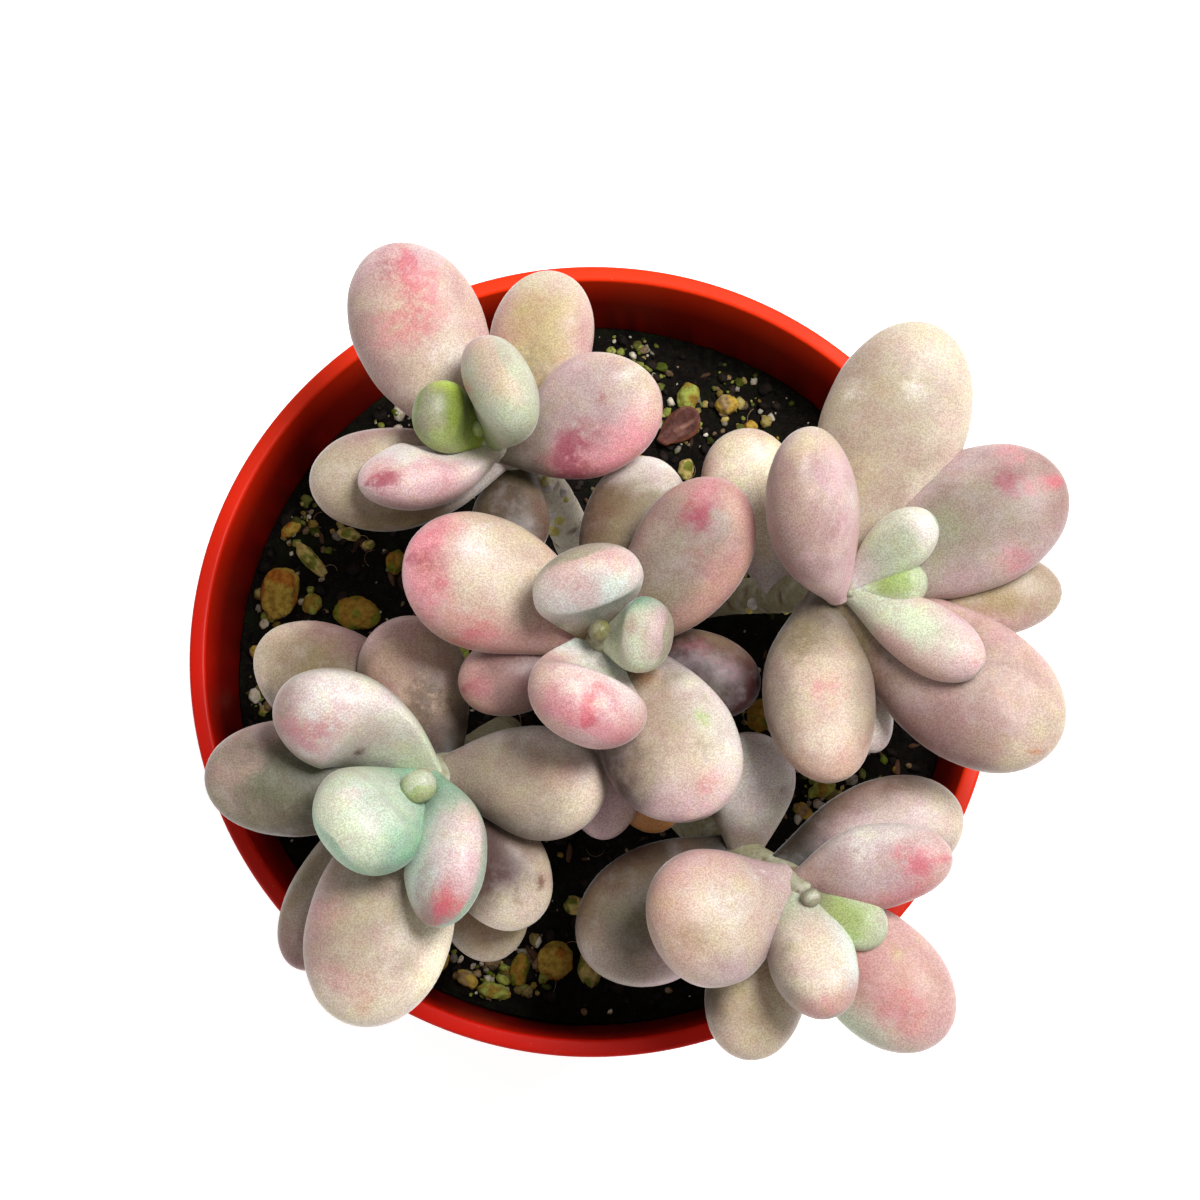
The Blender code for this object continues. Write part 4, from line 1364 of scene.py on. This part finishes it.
def swollen(points, seed):
    """The leaf's surface moved gently in and out."""
    away = points - points.mean(axis=1, keepdims=True)
    spread = np.linalg.norm(away, axis=2, keepdims=True) + TINY
    swell = SWELL * grain_of(points, SWELL_SPACING, seed)[..., None]
    return points + away / spread * np.minimum(swell, spread * SWELL_MOST)


def leaf_tones(leaf, skin, chord, points, across, upward):
    """Colours of the leaf's skin, from its root to its tip and from side to side, with its marks."""
    u, v, up = np.broadcast_arrays(leaf_rings()[:, None], across, upward)
    drift = grains_of(points, DRIFT_LAYERS)
    tones = np.tile(tint(skin.body), (LEAF_RINGS, LEAF_SIDES, 1))
    tones = blend(tones, tint(skin.left), smooth(*SIDE_BLEND, v + SIDE_DRIFT * drift))
    tones = blend(tones, tint(skin.right), smooth(*SIDE_BLEND, -v + SIDE_DRIFT * drift))
    tones = blend(tones, tint(skin.tip), smooth(*TIP_BLEND, u + END_DRIFT * drift))
    tones = blend(tones, tint(skin.root), smooth(*ROOT_BLEND, u + END_DRIFT * drift))
    tones = blend(tones, tint(skin.under), UNDER_SHARE * smooth(*UNDER_BLEND, up))
    flush_and_painted_light, strength = tones, np.zeros(u.shape)
    # Marks: flushes, scars and spots, and also painted highlights and painted shadows
    for mark in skin.marks:
        along = (u - mark.u) * chord
        aside = (v - mark.v) * leaf.width / 2
        off = np.hypot(along, aside) / mark.size
        share = mark.strength * smooth(*MARK_BLEND, off - MARK_DRIFT * drift) * (up > MARK_LOWEST)
        strength = share + strength * (1 - share)
        flush_and_painted_light = blend(flush_and_painted_light, tint(mark.tint), share / np.maximum(strength, TINY))
    return np.dstack([tones, flush_and_painted_light, strength])


def set_leaf(points, end, axes, foot):
    """The points and the two ends of a leaf, turned to its axes with its root at the foot."""
    flat = np.vstack([points.reshape(-1, 3), (0, 0, 0), end])
    return flat @ np.array(axes).T + np.array(foot)


def with_ends(tones):
    """The colours of a leaf's points, then those of its two ends."""
    return np.vstack([tones.reshape(-1, tones.shape[-1]), tones[0, :1], tones[-1, :1]])


def build_leaves(name, line, material):
    """All the leaves of one stem as one piece."""
    heap = Heap()
    faces = closed_tube_faces(LEAF_RINGS, LEAF_SIDES)
    for at, (leaf, skin) in enumerate(zip(LEAVES[name], SKINS[name])):
        axes, chord = leaf_axes(leaf)
        points, across, upward = leaf_surface(leaf, chord)
        tones = leaf_tones(leaf, skin, chord, points + DRIFT_STEP * at, across, upward)
        end = points[-1].mean(axis=0)
        foot = along_stem(line, leaf.depth)
        heap.add(set_leaf(swollen(points, SWELL_SEED * at), end, axes, foot), faces, with_ends(tones))
    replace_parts(heap.build("leaves" + name[4:], material), name)


def build_litter(name, root, leaf, material):
    """A shrivelled leaf: thin, curled and creased."""
    axes, chord = leaf_axes(leaf)
    points, across, _ = leaf_surface(leaf, chord)
    creases = grains_of(points * np.array(CREASE_STRETCH), [CREASE])
    points[..., 2] += creases
    edges = smooth(*DRY_EDGE_BLEND, np.abs(across))
    tones = np.tile(tint("dried"), (LEAF_RINGS, LEAF_SIDES, 1))
    tones = blend(tones, tint("dried_edge"), np.tile(edges, (LEAF_RINGS, 1)))
    tones = with_ends(blend(tones, tint("dried_pale"), smooth(*CREASE_BLEND, creases)))
    placed = set_leaf(points, points[-1].mean(axis=0), axes, root)
    faces = closed_tube_faces(LEAF_RINGS, LEAF_SIDES)
    piece = add_mesh(name + "_skin", placed, faces, tones, material)
    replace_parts(piece, name)


# Stage


def aim(thing, target):
    """Points the thing's -Z axis at the target, with +Y as up as it can be."""
    way = target - thing.location
    thing.rotation_mode = "QUATERNION"
    thing.rotation_quaternion = way.to_track_quat("-Z", "Y")


def add_lamp(name, spot, width, power):
    light = bpy.data.lights.new(name, "AREA")
    light.shape = "DISK"
    light.size = width * MM
    light.energy = power
    lamp = add_object(name, light)
    lamp.location = place(*spot)
    aim(lamp, place(*CAMERA_TARGET))


def build_floor():
    form = bmesh.new()
    bmesh.ops.create_grid(form, x_segments=2, y_segments=2, size=FLOOR_SIDE * MM / 2)
    mesh = mesh_from(form, "table_top")
    mesh.materials.append(floor_material())
    floor = add_object("table_top", mesh)


def build_sky():
    """White at the horizon and dimmer overhead."""
    world = bpy.data.worlds.new("soft_room")
    world.use_nodes = True
    nodes = world.node_tree.nodes
    direction = nodes.new("ShaderNodeTexCoord")
    split = nodes.new("ShaderNodeSeparateXYZ")
    fade = nodes.new("ShaderNodeMapRange")
    for name, value in zip(("From Min", "From Max", "To Min", "To Max"), (*HORIZON, 1.0, SKY_STRENGTH)):
        fade.inputs[name].default_value = value
    links = world.node_tree.links
    links.new(direction.outputs["Generated"], split.inputs[0])
    links.new(split.outputs["Z"], fade.inputs["Value"])
    links.new(fade.outputs["Result"], nodes["Background"].inputs["Strength"])
    nodes["Background"].inputs["Color"].default_value = SKY_TINT
    bpy.context.scene.world = world


def build_stage():
    """A pale floor, two soft lamps and a plain sky."""
    build_floor()
    for lamp in LAMPS:
        add_lamp(*lamp)
    build_sky()
    bpy.context.scene.view_settings.view_transform = "Standard"


def build_camera():
    lens = bpy.data.cameras.new("camera")
    lens.lens = LENS
    lens.sensor_width = SENSOR
    camera = add_object("camera", lens)
    camera.location = place(*CAMERA_PLACE)
    aim(camera, place(*CAMERA_TARGET))
    bpy.context.scene.camera = camera


def main():
    build_camera()
    build_stage()
    build_pot(pot_material())
    build_soil(soil_material())
    grit = grit_material()
    build_stones(grit)
    build_crumbs(grit)
    build_fibres(grit)
    leaf_skin, bark = leaf_material(), stalk_material()
    lines = {name: stem_line(stem.points) for name, stem in STEMS.items()}
    for name, line in lines.items():
        build_stalk(name, line, STEMS[name].radius, bark)
        build_leaves(name, line, leaf_skin)
    build_root_buds(lines, bark)
    dry = litter_material()
    for name, (root, leaf) in LITTER.items():
        build_litter(name, root, leaf, dry)


main()
